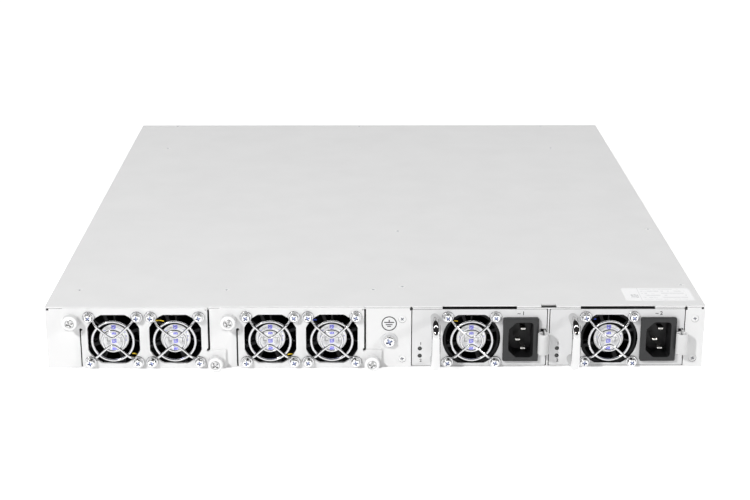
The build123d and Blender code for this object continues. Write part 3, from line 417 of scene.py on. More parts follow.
def effect(name, inputs, outputs, build):
    """Shader node group with named inputs and outputs, built once."""
    if name in bpy.data.node_groups:
        return bpy.data.node_groups[name]
    tree = bpy.data.node_groups.new(name, "ShaderNodeTree")
    for label, default in inputs.items():
        socket = tree.interface.new_socket(label, in_out="INPUT", socket_type="NodeSocketFloat")
        socket.default_value = default
    for label in outputs:
        tree.interface.new_socket(label, in_out="OUTPUT", socket_type="NodeSocketFloat")
    wiring = Wiring(tree)
    source = tree.nodes.new("NodeGroupInput")
    sink = tree.nodes.new("NodeGroupOutput")
    for label, value in build(wiring, source.outputs).items():
        wiring.put(value, sink.inputs[label])
    return tree


def grain_effect():
    """Fine grain of a sprayed or moulded skin, with a slow drift of its shade and polish."""
    def build(w, given):
        place = w.object_place()
        fine = w.noise(place, given["Scale"], 4.0, 0.6)
        slow = w.noise(place, w.times(given["Scale"], 0.02), 2.0)
        shade = w.span(slow, 0.3, 0.7, w.minus(1.0, given["Drift"]), 1.0)
        polish = w.times(w.minus(fine, 0.5), given["Polish"])
        return {"Height": fine, "Shade": shade, "Polish": polish}
    return effect("skin_grain", {"Scale": 1500.0, "Drift": 0.03, "Polish": 0.12},
                  ("Height", "Shade", "Polish"), build)


def smudge_effect():
    """Mask of soft handling smudges with thin scuffs."""
    def build(w, given):
        place = w.object_place()
        cloud = w.span(w.noise(place, given["Scale"], 5.0, 0.65), 0.52, 0.75)
        long_place = w.stretch(place, (8.0, 1.0, 60.0))
        lines = w.span(w.noise(long_place, w.times(given["Scale"], 2.2), 6.0, 0.7), 0.64, 0.70)
        mask = w.plus(w.times(cloud, 0.7), w.times(lines, 0.3), clamp=True)
        return {"Mask": mask}
    return effect("handling_smudges", {"Scale": 22.0}, ("Mask",), build)


def brush_effect():
    """Fine drawn lines along X, as on rolled or plated sheet."""
    def build(w, given):
        place = w.stretch(w.object_place(), (0.04, 1.0, 1.0))
        lines = w.noise(place, given["Scale"], 3.0, 0.5)
        spots = w.noise(w.object_place(), w.times(given["Scale"], 0.06), 3.0)
        return {"Lines": lines, "Spots": spots}
    return effect("drawn_lines", {"Scale": 4000.0}, ("Lines", "Spots"), build)


def begin_material(name):
    """Empty material: its wiring, its Principled shader and the material."""
    material = bpy.data.materials.new(name)
    material.use_nodes = True
    tree = material.node_tree
    tree.nodes.clear()
    wiring = Wiring(tree)
    shader = wiring.node("BsdfPrincipled")
    sink = wiring.node("OutputMaterial")
    tree.links.new(shader.outputs[0], sink.inputs[0])
    return wiring, shader, material


def place_effect(wiring, group, **values):
    """Places an effect group in a material with its own values."""
    made = wiring.node("Group", node_tree=group)
    for key, value in values.items():
        made.inputs[key.capitalize()].default_value = value
    return made.outputs


def colour(values):
    """Colour with full alpha."""
    return (*values, 1.0)


def skin_material(name, base, roughness, scale, depth, metallic=0.0, smudge=0.06, polish=0.12,
                  strength=0.35, gloss=0.5, hidden=None):
    """Sprayed, moulded or plated skin: base colour with drift, fine grain and faint smudges.

    The shade box (low, high, colour) gives the surface inside it one plain colour: painted shade, not the
    skin's own colour.
    """
    w, shader, material = begin_material(name)
    grain = place_effect(w, grain_effect(), scale=scale, polish=polish)
    marks = place_effect(w, smudge_effect(), scale=22.0)
    shaded = w.mix(1.0, colour(base), grain["Shade"], "MULTIPLY")
    dark = tuple(0.82 * value for value in base)
    outside = w.mix(w.times(marks["Mask"], smudge * 2), shaded, colour(dark))
    if hidden:
        # painted shade: inside the box the skin's colour gives way to the box's plain shade colour
        mask = 1.0
        for axis, low, high in zip(w.axes(w.object_place()), *hidden[:2]):
            mask = w.times(mask, w.between(axis, low, high))
        outside = w.mix(mask, outside, colour(hidden[2]))
    w.put(outside, shader.inputs["Base Color"])
    rough = w.plus(w.plus(grain["Polish"], roughness),
                  w.times(marks["Mask"], smudge), clamp=True)
    w.put(rough, shader.inputs["Roughness"])
    w.put(w.bump(grain["Height"], strength, depth), shader.inputs["Normal"])
    shader.inputs["Metallic"].default_value = metallic
    shader.inputs["Specular IOR Level"].default_value = gloss
    return material


def plate_material(name, base, roughness, scale=4000.0):
    """Plated sheet or turned metal with fine drawn lines and soft spots."""
    w, shader, material = begin_material(name)
    lines = place_effect(w, brush_effect(), scale=scale)
    pale = tuple(min(1.0, 1.12 * value) for value in base)
    w.put(w.mix(lines["Spots"], colour(base), colour(pale)), shader.inputs["Base Color"])
    rough = w.plus(w.times(lines["Lines"], 0.16), roughness - 0.08)
    w.put(rough, shader.inputs["Roughness"])
    w.put(w.bump(lines["Lines"], 0.25, 0.00002), shader.inputs["Normal"])
    shader.inputs["Metallic"].default_value = 1.0
    return material


def board_material(name, base):
    """Solder mask with fine copper traces that show through as slightly lighter lines."""
    w, shader, material = begin_material(name)
    place = w.object_place()
    brick = w.node("TexBrick")
    w.put(place, brick.inputs["Vector"])
    brick.inputs["Scale"].default_value = 140.0
    brick.inputs["Mortar Size"].default_value = 0.06
    trace = w.minus(1.0, brick.outputs["Fac"])
    pale = tuple(min(1.0, 1.7 * value + 0.01) for value in base)
    w.put(w.mix(trace, colour(base), colour(pale)), shader.inputs["Base Color"])
    grain = place_effect(w, grain_effect(), scale=900.0)
    w.put(w.plus(grain["Polish"], 0.32), shader.inputs["Roughness"])
    w.put(w.bump(trace, 0.3, 0.00003), shader.inputs["Normal"])
    return material


def label_material(name, mark):
    """Fan label: silver-white foil with a column of blocks, thin arcs and short bars, greyer towards its rim
    as painted shade, in the disc's own coordinates, where 1 is the label's radius."""
    w, shader, material = begin_material(name)
    place = w.print_place()
    x, y = w.axes(place)[:2]
    radius = w.sum("SQRT", w.plus(w.times(x, x), w.times(y, y)))

    def patches(plan):
        """1 inside any of the rectangles, given as (x, y, half width, half height)."""
        total = 0.0
        for left, height, half_x, half_y in plan:
            one = w.times(w.near(x, left, half_x), w.near(y, height, half_y))
            total = w.most(total, one)
        return total

    blocks = patches([(0.0, height, 0.15, 0.15) for height in (0.80, 0.42, -0.20, -0.76)])
    speck = w.span(w.noise(place, 11.0, 2.0), 0.40, 0.52)
    blocks = w.times(blocks, w.plus(0.35, w.times(speck, 0.6)))
    dashes = patches(((0.80, -0.12, 0.03, 0.09), (0.84, 0.16, 0.03, 0.06), (0.74, 0.44, 0.07, 0.03),
                      (-0.62, 0.56, 0.08, 0.03), (-0.78, 0.10, 0.03, 0.05), (0.60, 0.60, 0.05, 0.03)))
    blocks = w.most(blocks, w.times(dashes, 0.5))
    rim = w.near(radius, 0.80, 0.02)
    bars = patches(((-0.46, 0.00, 0.05, 0.20), (-0.46, 0.04, 0.16, 0.03), (-0.38, -0.20, 0.12, 0.03),
                    (0.42, 0.04, 0.14, 0.04), (0.46, -0.12, 0.04, 0.14), (0.40, 0.22, 0.10, 0.04)))
    # painted shade: the foil darkens towards the label's rim
    rim_shade = w.times(w.span(radius, 0.86, 1.0), 0.35)
    grey = w.most(w.times(rim, 0.30), w.times(bars, 0.55))
    grey = w.most(grey, rim_shade)
    foil = w.mix(w.noise(place, 3.0, 2.0), colour((0.93, 0.93, 0.94)), colour((0.98, 0.98, 0.98)))
    printed = w.mix(grey, foil, colour((0.10, 0.10, 0.11)))
    w.put(w.mix(blocks, printed, colour(mark)), shader.inputs["Base Color"])
    w.put(w.span(w.noise(place, 14.0), 0.3, 0.7, 0.25, 0.4), shader.inputs["Roughness"])
    w.put(w.bump(w.noise(place, 5.0, 1.0), 0.15, 0.0001), shader.inputs["Normal"])
    shader.inputs["Metallic"].default_value = 0.5
    return material


def screw_material(name, base, cross, roughness, metallic=1.0):
    """Plated screw head with fine turned lines and a cross recess painted a darker colour as painted shade,
    in the head's own coordinates, where 1 is the recess's reach."""
    w, shader, material = begin_material(name)
    x, y = (w.sum("ABSOLUTE", part) for part in w.axes(w.print_place())[:2])
    near = w.sum("LESS_THAN", w.sum("MINIMUM", x, y), 0.26)
    reach = w.sum("LESS_THAN", w.most(x, y), 0.92)
    rubbed = w.noise(w.object_place(), 2600.0, 3.0)
    metal = w.mix(rubbed, colour(base), colour(tuple(min(1.0, 1.1 * value) for value in base)))
    # painted shade: the cross recess takes the darker cross colour
    mask = w.times(w.times(near, reach), 0.85)
    w.put(w.mix(mask, metal, colour(cross)), shader.inputs["Base Color"])
    w.put(w.plus(w.times(rubbed, 0.12), roughness - 0.06), shader.inputs["Roughness"])
    w.put(w.bump(rubbed, 0.2, 0.00001), shader.inputs["Normal"])
    shader.inputs["Metallic"].default_value = metallic
    return material


def sticker_material(name):
    """White paper sticker with faint grey rows, a grey line of painted shade along a fold, and a dark
    cluster of blocks, in its own coordinates from 0 to 1."""
    w, shader, material = begin_material(name)
    place = w.print_place()
    x, y = w.axes(place)[:2]

    def field(left, right, bottom, top):
        """1 inside a rectangle."""
        return w.times(w.between(x, left, right), w.between(y, bottom, top))

    row = w.sum("FRACT", w.times(y, 6.0))
    line = w.near(row, 0.5, 0.20)
    broken = w.span(w.noise(w.stretch(place, (14.0, 6.0, 1.0)), 1.0, 1.0), 0.44, 0.5)
    rows = w.times(w.times(line, broken), field(0.27, 0.92, 0.08, 0.92))
    # painted shade: a thin grey line where the paper is folded
    fold_shade = w.times(w.near(x, 0.235, 0.005), 0.9)
    speck = w.span(w.noise(w.stretch(place, (46.0, 14.0, 1.0)), 1.0, 1.0), 0.45, 0.5)
    block = w.times(field(0.10, 0.21, 0.22, 0.50), w.plus(w.times(speck, 1.4), 0.3))
    grey = w.most(w.most(rows, fold_shade), block)
    base = w.mix(w.noise(place, 30.0), colour((0.98, 0.985, 1.0)), colour((1.0, 1.0, 1.0)))
    printed = w.mix(w.times(grey, 0.30), base, colour((0.30, 0.31, 0.32)))
    w.put(printed, shader.inputs["Base Color"])
    w.put(w.span(w.noise(place, 60.0), 0.3, 0.7, 0.22, 0.28), shader.inputs["Roughness"])
    shader.inputs["Specular IOR Level"].default_value = 0.7
    return material


def lens_material(name, base):
    """Small tinted lens with a cloudy core."""
    w, shader, material = begin_material(name)
    cloud = w.noise(w.object_place(), 900.0, 2.0)
    pale = tuple(min(1.0, 1.6 * value) for value in base)
    w.put(w.mix(cloud, colour(base), colour(pale)), shader.inputs["Base Color"])
    w.put(w.span(cloud, 0.3, 0.7, 0.12, 0.25), shader.inputs["Roughness"])
    shader.inputs["Coat Weight"].default_value = 0.6
    return material


MATERIALS = {}


def make_materials():
    """Makes every finish and keeps it by its plain name."""
    f = finishes()
    sheet, skim = 0.99 * MM, 0.15 * MM
    low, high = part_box("chassis_base")
    # painted shade: the chassis's inner faces and the power module cases behind their faces are painted near
    # black, so the gaps and slots between parts look dark
    gap_shade = (0.02, 0.02, 0.02)
    inside = ((low.x + sheet, low.y + skim, low.z + sheet), (high.x - sheet, high.y, high.z + sheet),
              gap_shade)
    case = ((-1.0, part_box("psu_case_a")[0].y + skim, -1.0), (1.0, 1.0, 1.0), gap_shade)
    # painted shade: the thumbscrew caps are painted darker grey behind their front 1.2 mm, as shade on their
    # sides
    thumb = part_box("thumbscrew_1")[0].y + 1.2 * MM
    shaded_flank = ((-1.0, thumb, -1.0), (1.0, 1.0, 1.0), (0.70, 0.70, 0.70))

    def add(make, name, *values, **extras):
        """Keeps one finish under its name."""
        MATERIALS[name] = make(name, *values, **extras)

    add(skin_material, "case_paint", f.case_paint, 0.46, 1400.0, 0.00005, gloss=0.3, hidden=inside)
    add(skin_material, "panel_paint", f.case_paint, 0.42, 1400.0, 0.00005)
    add(skin_material, "module_paint", f.module_paint, 0.40, 1400.0, 0.00005, hidden=case)
    add(skin_material, "latch_paint", (0.72, 0.72, 0.72), 0.35, 1800.0, 0.00003)
    add(skin_material, "cap_paint", (0.93, 0.93, 0.93), 0.35, 2500.0, 0.00002, hidden=shaded_flank)
    add(skin_material, "washer_paint", (0.74, 0.74, 0.75), 0.35, 2500.0, 0.00002)
    add(plate_material, "plated_sheet", (0.55, 0.56, 0.57), 0.34)
    add(plate_material, "dark_sheet", (0.12, 0.12, 0.12), 0.5)
    # each screw finish below takes as its second colour the painted shade of its cross recess
    add(screw_material, "painted_head", f.case_paint, (0.22, 0.23, 0.27), 0.36, 0.0)
    add(plate_material, "screw_metal", (0.78, 0.78, 0.79), 0.20, 6000.0)
    add(screw_material, "head_metal", (0.74, 0.74, 0.74), (0.26, 0.31, 0.50), 0.15)
    add(screw_material, "core_metal", (0.62, 0.62, 0.62), (0.05, 0.05, 0.05), 0.22)
    add(skin_material, "bright_wire", (0.62, 0.62, 0.63), 0.09, 3000.0, 0.000008,
        metallic=1.0, smudge=0.03, polish=0.06, strength=0.2)
    add(skin_material, "bright_bar", (0.68, 0.68, 0.68), 0.07, 900.0, 0.000008,
        metallic=1.0, smudge=0.03, polish=0.05, strength=0.15)
    add(skin_material, "fan_plastic", f.fan_plastic, 0.48, 2600.0, 0.00003, smudge=0.04, gloss=0.2)
    add(skin_material, "rotor_plastic", (0.008, 0.008, 0.009), 0.38, 3000.0, 0.00002,
        smudge=0.04, gloss=0.3)
    add(skin_material, "inlet_plastic", f.inlet_plastic, 0.38, 2200.0, 0.00003, smudge=0.05)
    add(skin_material, "cavity_plastic", (0.010, 0.010, 0.011), 0.5, 2200.0, 0.00003)
    add(skin_material, "connector_plastic", (0.015, 0.015, 0.016), 0.45, 2000.0, 0.00003)
    add(skin_material, "spacer_plastic", (0.30, 0.31, 0.32), 0.4, 2000.0, 0.00003)
    add(plate_material, "pin_metal", (0.82, 0.81, 0.78), 0.12, 5000.0)
    add(plate_material, "gold_plate", (0.83, 0.62, 0.26), 0.22, 6000.0)
    add(plate_material, "heatsink_metal", (0.68, 0.69, 0.70), 0.36, 2500.0)
    add(board_material, "board", f.board_mask)
    add(label_material, "label_foil", f.label_mark)
    add(sticker_material, "sticker_paper")
    add(skin_material, "print_ink", (0.035, 0.035, 0.037), 0.6, 3000.0, 0.00001)
    add(skin_material, "port_ink", (0.16, 0.17, 0.18), 0.55, 3000.0, 0.00001)
    add(skin_material, "yellow_lead", (0.95, 0.66, 0.04), 0.35, 2500.0, 0.00001)
    add(skin_material, "blue_lead", (0.05, 0.10, 0.60), 0.35, 2500.0, 0.00001)
    add(lens_material, "dark_lens", (0.05, 0.055, 0.05))
    add(lens_material, "clear_lens", (0.42, 0.46, 0.42))
    add(skin_material, "button_plastic", (0.02, 0.02, 0.02), 0.3, 2500.0, 0.00001)


NODE_FINISHES = {
    "case_paint": ("chassis_base",),
    "panel_paint": ("top_cover", "front_panel", "fan_tray_plate_a", "fan_tray_plate_b"),
    "module_paint": ("psu_case_a", "psu_case_b"),
    "latch_paint": ("psu_latch_a", "psu_latch_b"),
    "cap_paint": ("thumbscrew_1", "thumbscrew_2", "thumbscrew_3", "thumbscrew_4"),
    "plated_sheet": ("port_cages", "cage_dividers"),
    "dark_sheet": ("inner_brackets", "fan_tray_bracket_a", "fan_tray_bracket_b"),
    "screw_metal": ("cover_screws", "panel_screws", "ground_screw", "guard_screws_a", "guard_screws_b",
                    "psu_guard_screws_a", "psu_guard_screws_b", "board_standoffs"),
    "bright_wire": ("finger_guards_a", "finger_guards_b", "psu_finger_guard_a", "psu_finger_guard_b"),
    "bright_bar": ("psu_handle_a", "psu_handle_b"),
    "fan_plastic": ("fan_frames_a", "fan_frames_b", "psu_fan_frame_a", "psu_fan_frame_b"),
    "rotor_plastic": ("fan_rotor_1", "fan_rotor_2", "fan_rotor_3", "fan_rotor_4", "psu_fan_rotor_a",
                      "psu_fan_rotor_b"),
    "inlet_plastic": ("psu_inlet_a", "psu_inlet_b"),
    "connector_plastic": ("bay_sockets", "fan_tray_plug_a", "fan_tray_plug_b", "port_connectors",
                          "rj45_jack", "reset_switch"),
    "spacer_plastic": ("port_spacers",),
    "board": ("main_board", "power_backplane", "psu_board_a", "psu_board_b"),
    "heatsink_metal": ("switch_heatsink",),
    "clear_lens": ("light_pipes", "psu_lights_a", "psu_lights_b"),
    "button_plastic": ("reset_button",),
}


# ---------------------------------------------------------------- pieces
class SWITCH_OT_finish_nodes(bpy.types.Operator):
    """Gives every CAD node its finish."""

    bl_idname = "switch.finish_nodes"
    bl_label = "Finish the solid pieces"

    def execute(self, context):
        make_materials()
        for finish, names in NODE_FINISHES.items():
            for name in names:
                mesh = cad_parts[name].data
                mesh.materials.clear()
                mesh.materials.append(MATERIALS[finish])
        return {"FINISHED"}


def guard_sets():
    """Seats of each guard node, as (start of its name, letter, seats)."""
    seats = fan_seats()
    sets = [("", letter, seats[2 * number:2 * number + 2]) for number, letter in enumerate(TRAYS)]
    return sets + [("psu_", letter, seats[4 + number:5 + number]) for number, letter in enumerate(MODULES)]


def guard_skin(seats):
    """Wire guards: two rings, and two bent wires whose height over the fan's axis is
    sqrt(bend^2 + (slope * x)^2), raised in the middle by a smooth step and ending in a loop round
    each screw."""
    s = sizes()
    wire = s.wire_radius
    skin = Skin()
    for seat in seats:
        low = seat + OUT * wire
        rings = low + OUT * s.guard_rise
        for radius in (s.outer_ring, s.inner_ring):
            skin.grid(tube(ring_path(rings, radius), wire, OUT, closed=True, sides=14),
                      around=True, along=True)
        end = s.screw_reach - s.eyelet * math.cos(math.radians(45))
        slope = math.sqrt(end ** 2 - s.bend_height ** 2) / end
        run = np.linspace(-end, end, 61)[:, None]
        rise = np.sqrt(s.bend_height ** 2 + (slope * run) ** 2)
        share = np.clip((GUARD_FOOT - np.abs(run)) / (GUARD_FOOT - GUARD_KNEE), 0, 1)
        lift = (s.guard_rise + 1.65 * wire) * share ** 2 * (3 - 2 * share)
        for side in (-1, 1):
            path = low + run * EAST + side * rise * UP + lift * OUT
            skin.grid(tube(path, wire, OUT, sides=14), around=True, caps=(True, True))
            for hand in (-1, 1):
                eye = low + s.screw_reach * (hand * EAST + side * UP)
                skin.grid(tube(ring_path(eye, s.eyelet, 28), wire, OUT, closed=True, sides=12),
                          around=True, along=True)
    return skin


class SWITCH_OT_finger_guards(bpy.types.Operator):
    """Makes the wire guards over the six fans."""

    bl_idname = "switch.finger_guards"
    bl_label = "Finger guards"

    def execute(self, context):
        for start, letter, seats in guard_sets():
            ending = ("_" if start else "s_") + letter
            skin = guard_skin([seat for seat, body in seats])
            skin.piece(start + "wire_guard" + ending, MATERIALS["bright_wire"], seats[0][1], "bright_wire",
                       [start + "finger_guard" + ending])
        return {"FINISHED"}


def screw_head(skin, origin, radius, height, cross_radius, cross_depth, tilt, axis=OUT):
    """Pan head with a cross recess: over the disc, height is h * (1 - (r / R)^6)^(1/2.6), less the
    recess, which is deepest on two crossing bars and fades out towards their ends. Its uv is the
    place over the disc, where 1 is the recess's reach."""
    share = np.sin(np.linspace(0, np.pi / 2, 26))
    share[0] = 0.0005
    turn = np.linspace(0, 2 * np.pi, 64, endpoint=False)
    r, a = np.meshgrid(share * radius, turn, indexing="ij")
    x, z = r * np.cos(a), r * np.sin(a)
    dome = height * (1 - (r / radius) ** 6) ** (1 / 2.6)
    bar = cross_radius * 0.24
    along = np.maximum(np.abs(x), np.abs(z))
    across = np.minimum(np.abs(x), np.abs(z))
    recess = np.clip((bar - across) / (0.35 * bar), 0, 1)
    recess = recess * np.clip((cross_radius - along) / (0.3 * cross_radius), 0, 1)
    out = dome - cross_depth * recess
    u = unit(np.cross(axis, UP if abs(axis[2]) < 0.9 else EAST))
    v = np.cross(axis, u)
    c, s = math.cos(tilt), math.sin(tilt)
    flat_x, flat_z = (c * x - s * z)[..., None], (s * x + c * z)[..., None]
    surface = origin + flat_x * u + flat_z * v + out[..., None] * axis
    return skin.grid(surface, around=True, uv=np.stack([x, z], -1) / cross_radius)


class SWITCH_OT_guard_screws(bpy.types.Operator):
    """Makes the cross-recessed screws that hold the guards."""

    bl_idname = "switch.guard_screws"
    bl_label = "Guard screws"

    def execute(self, context):
        s = sizes()
        draw = np.random.default_rng(11)
        for start, letter, seats in guard_sets():
            node = start + "guard_screws_" + letter
            skin = Skin()
            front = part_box(node)[0].y
            for seat, body in seats:
                head_top = seat[1] - front
                base = 2 * s.wire_radius
                for hand in (-1, 1):
                    for side in (-1, 1):
                        centre = seat + s.screw_reach * (hand * EAST + side * UP)
                        screw_head(skin, centre + OUT * base, PAN_HEAD, head_top - base, 1.7 * MM,
                                   1.0 * MM, draw.uniform(0, 1.5))
                        shank = [(PAN_HEAD, base), (PAN_SHANK, base), (PAN_SHANK, -6 * MM),
                                 (0.1 * POINT, -6 * MM)]
                        skin.grid(lathe(shank, centre, sides=24), around=True)
            skin.piece(start + "guard_heads_" + letter, MATERIALS["head_metal"], seats[0][1],
                       "plated_screws", [node])
        return {"FINISHED"}


def screw_middles(node, gap=4.0 * MM):
    """Middles of the separate screws in a node: its points are parted wherever they stand further
    apart than the gap along one axis, then along the other."""
    points = np.array([vertex.co[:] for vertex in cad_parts[node].data.vertices])
    groups = [points]
    for axis in (0, 1, 2):
        parted = []
        for group in groups:
            group = group[np.argsort(group[:, axis])]
            parted += np.split(group, np.flatnonzero(np.diff(group[:, axis]) > gap) + 1)
        groups = parted
    return [(group.min(0) + group.max(0)) / 2 for group in groups]


class SWITCH_OT_flush_screws(bpy.types.Operator):
    """Makes the painted flush screws of the cover and of the fan and power side."""

    bl_idname = "switch.flush_screws"
    bl_label = "Flush screws"

    def execute(self, context):
        for node, axis in (("cover_screws", UP), ("panel_screws", OUT)):
            low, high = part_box(node)
            outer = high.z if node == "cover_screws" else -low.y
            skin = Skin()
            plans = [(middle, 0.0) for middle in screw_middles(node)]
            if node == "cover_screws":
                # the one between the last pair before the front lip's three
                pair = sorted((middle[:2].tolist() for middle, raised in plans), key=lambda p: p[1])[-5:-3]
                plans.append((np.array((*np.mean(pair, axis=0), 0.0)), 0.06 * MM))
            for number, (middle, raised) in enumerate(plans):
                top = middle + axis * (outer + raised - middle @ axis)
                screw_head(skin, top - 0.35 * MM * axis, FLUSH_HEAD, 0.3 * MM, 1.3 * MM, 0.7 * MM,
                           0.2 + 0.5 * number, axis)
                shank = [(FLUSH_HEAD, -0.3 * MM), (FLUSH_HEAD, -0.5 * MM), (FLUSH_SHANK, -0.6 * MM),
                         (FLUSH_SHANK, -2.0 * MM), (POINT, -2.0 * MM)]
                skin.grid(lathe(shank, top, axis, sides=24), around=True)
            skin.piece(node.replace("screws", "flush_heads"), MATERIALS["painted_head"], "root",
                       "plated_screws", [node])
        return {"FINISHED"}


class SWITCH_OT_ground_screw(bpy.types.Operator):
    """Makes the earth terminal: washer and cross-recessed screw."""

    bl_idname = "switch.ground_screw"
    bl_label = "Ground screw"

    def execute(self, context):
        low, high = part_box("ground_screw")
        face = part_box("chassis_base")[0].y
        seat = on_face("ground_screw", face)
        radius, top = (high.x - low.x) / 2, face - low.y
        thick = 0.8 * MM
        washer = [(1.6 * MM, -2.0 * MM), (1.6 * MM, 0), (radius, 0), (radius, thick - 0.2 * MM),
                  (radius - 0.2 * MM, thick), (1.6 * MM, thick)]
        Skin().grid(lathe(washer, seat, sides=64), around=True, caps=(True, True)).piece(
            "ground_washer", MATERIALS["washer_paint"], "root")
        head = screw_head(Skin(), seat + OUT * (thick + 0.02 * MM), 4.1 * MM, top - thick - 0.02 * MM,
                          2.3 * MM, 1.2 * MM, 0.4)
        head.piece("ground_head", MATERIALS["head_metal"], "root", "plated_screws", ["ground_screw"])
        return {"FINISHED"}


class SWITCH_OT_fan_labels(bpy.types.Operator):
    """Makes the round labels on the fans' stator discs."""

    bl_idname = "switch.fan_labels"
    bl_label = "Fan labels"

    def execute(self, context):
        radius = sizes().label_radius
        share = np.array([0.001, 0.2, 0.4, 0.6, 0.8, 0.97, 1.0])
        turn = np.linspace(0, 2 * np.pi, 72, endpoint=False)
        for number, (seat, body) in enumerate(fan_seats()):
            start = "fan_frames_" if body.startswith("fan") else "psu_fan_frame_"
            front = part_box(start + body[-1])[0].y
            r, a = np.meshgrid(share, turn, indexing="ij")
            flat = np.stack([r * np.cos(a), r * np.sin(a)], -1)
            centre = np.array((seat[0], front, seat[2]))
            rise = np.where(share >= 1.0, 0.0, 0.12 * MM)[:, None, None] * OUT
            disc = centre + radius * (flat[..., :1] * EAST + flat[..., 1:] * UP) + rise
            skin = Skin().grid(disc, around=True, uv=flat)
            skin.piece("fan_label_" + str(number + 1), MATERIALS["label_foil"], body)
        return {"FINISHED"}


class SWITCH_OT_fan_leads(bpy.types.Operator):
    """Makes the visible stubs of the fan leads at the corners of the fan openings."""

    bl_idname = "switch.fan_leads"
    bl_label = "Fan leads"

    def execute(self, context):
        plans = (
            ("yellow_lead", (11.8, -10.8), (16.0, -12.6)), ("yellow_lead", (-14.2, 12.3), (-7.6, 12.0)),
            ("yellow_lead", (11.2, -11.9), (16.0, -12.3)), ("blue_lead", (-13.0, 12.3), (-10.2, 12.6)),
            ("yellow_lead", (-13.8, 11.9), (-9.2, 11.7)), ("blue_lead", (-9.9, 13.0), (-8.9, 13.0)))
        step = np.linspace(0, 1, 14)[:, None]
        for number, ((seat, body), (finish, start, end)) in enumerate(zip(fan_seats(), plans)):
            start, end = np.array(start) * MM, np.array(end) * MM
            flat = start + (end - start) * step
            bow = 0.5 * MM * np.sin(np.pi * step)
            path = seat + flat[:, :1] * EAST + (flat[:, 1:] + bow) * UP - OUT * (1.6 + 0.8 * step) * MM
            skin = Skin().grid(tube(path, 0.38 * MM, OUT, sides=10), around=True, caps=(True, True))
            skin.piece("fan_lead_" + str(number + 1), MATERIALS[finish], body)
        return {"FINISHED"}


class SWITCH_OT_thumbscrews(bpy.types.Operator):
    """Makes the captive thumbscrews: a coated cap with a collar, and the metal screw inside."""

    bl_idname = "switch.thumbscrews"
    bl_label = "Thumbscrews"

    def execute(self, context):
        for number in range(1, 5):
            node = "thumbscrew_" + str(number)
            low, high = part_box(node)
            letter = "a" if number < 3 else "b"
            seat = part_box("fan_tray_plate_" + letter)[0].y
            centre = on_face(node, seat)
            top = seat - low.y
            r = (high.x - low.x) / 2
            recess = 0.62 * r
            profile = [(PAN_SHANK, -0.1 * MM), (0.72 * r, 0.1 * MM), (0.78 * r, 0.3 * MM),
                       (0.78 * r, 1.2 * MM), (0.90 * r, 1.4 * MM)]
            profile += arc((r - 0.5 * MM, 2.1 * MM), 0.5 * MM, -60, 0)
            profile += arc((r - 1.3 * MM, top - 1.3 * MM), 1.3 * MM, 0, 90, 9)
            profile += arc((recess + 0.3 * MM, top - 0.3 * MM), 0.3 * MM, 90, 180)
            profile += [(recess, top - 1.1 * MM), (POINT, top - 1.1 * MM)]
            skin = Skin().grid(lathe(profile, centre, sides=64), around=True)
            shank = [(PAN_SHANK, 0.2 * MM), (PAN_SHANK, -7.4 * MM), (1.1 * MM, -8.0 * MM),
                     (POINT, -8.0 * MM)]
            skin.grid(lathe(shank, centre, sides=24), around=True)
            skin.piece(node + "_cap", MATERIALS["cap_paint"], node, "thumb_cap", [node])
            core = screw_head(Skin(), centre + OUT * (top - 1.15 * MM), recess - 0.12 * MM, 0.95 * MM,
                              0.74 * recess, 1.3 * MM, 0.35 * number)
            core.piece(node + "_core", MATERIALS["core_metal"], node)
        return {"FINISHED"}


class SWITCH_OT_handles(bpy.types.Operator):
    """Makes the bright round-bar handles of the power modules."""

    bl_idname = "switch.handles"
    bl_label = "Module handles"

    def execute(self, context):
        for letter in MODULES:
            node = "psu_handle_" + letter
            low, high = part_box(node)
            r = (high.x - low.x) / 2
            x = (low.x + high.x) / 2
            face, reach = high.y, low.y + r
            bottom, top = low.z + r, high.z - r
            bend = 7.5 * MM
            turn = np.linspace(0, np.pi / 2, 13)
            upper = [(reach + bend - bend * math.sin(a), top - bend + bend * math.cos(a)) for a in turn]
            lower = [(reach + bend - bend * math.cos(a), bottom + bend - bend * math.sin(a)) for a in turn]
            line = np.array([(face, top), (face - 5 * MM, top)] + upper
                            + [(reach, (top + bottom) / 2)] + lower
                            + [(face - 5 * MM, bottom), (face, bottom)])
            path = np.stack([np.full(len(line), x), line[:, 0], line[:, 1]], 1)
            skin = Skin().grid(tube(path, r, EAST, sides=28), around=True, caps=(True, True))
            skin.piece("psu_bar_handle_" + letter, MATERIALS["bright_bar"], "psu_" + letter, "bright_bar",
                       [node])
        return {"FINISHED"}


def smooth_polygon(turn, sides, sharpness=40):
    """Distance from the centre to a rounded polygon: (sum over sides of max(0, n.d / h)^p)^(-1/p),
    for sides given as (direction in degrees, distance)."""
    total = np.zeros_like(turn)
    for direction, distance in sides:
        facing = np.cos(turn - math.radians(direction)) / distance
        total += np.maximum(facing, 0.0) ** sharpness
    return total ** (-1.0 / sharpness)


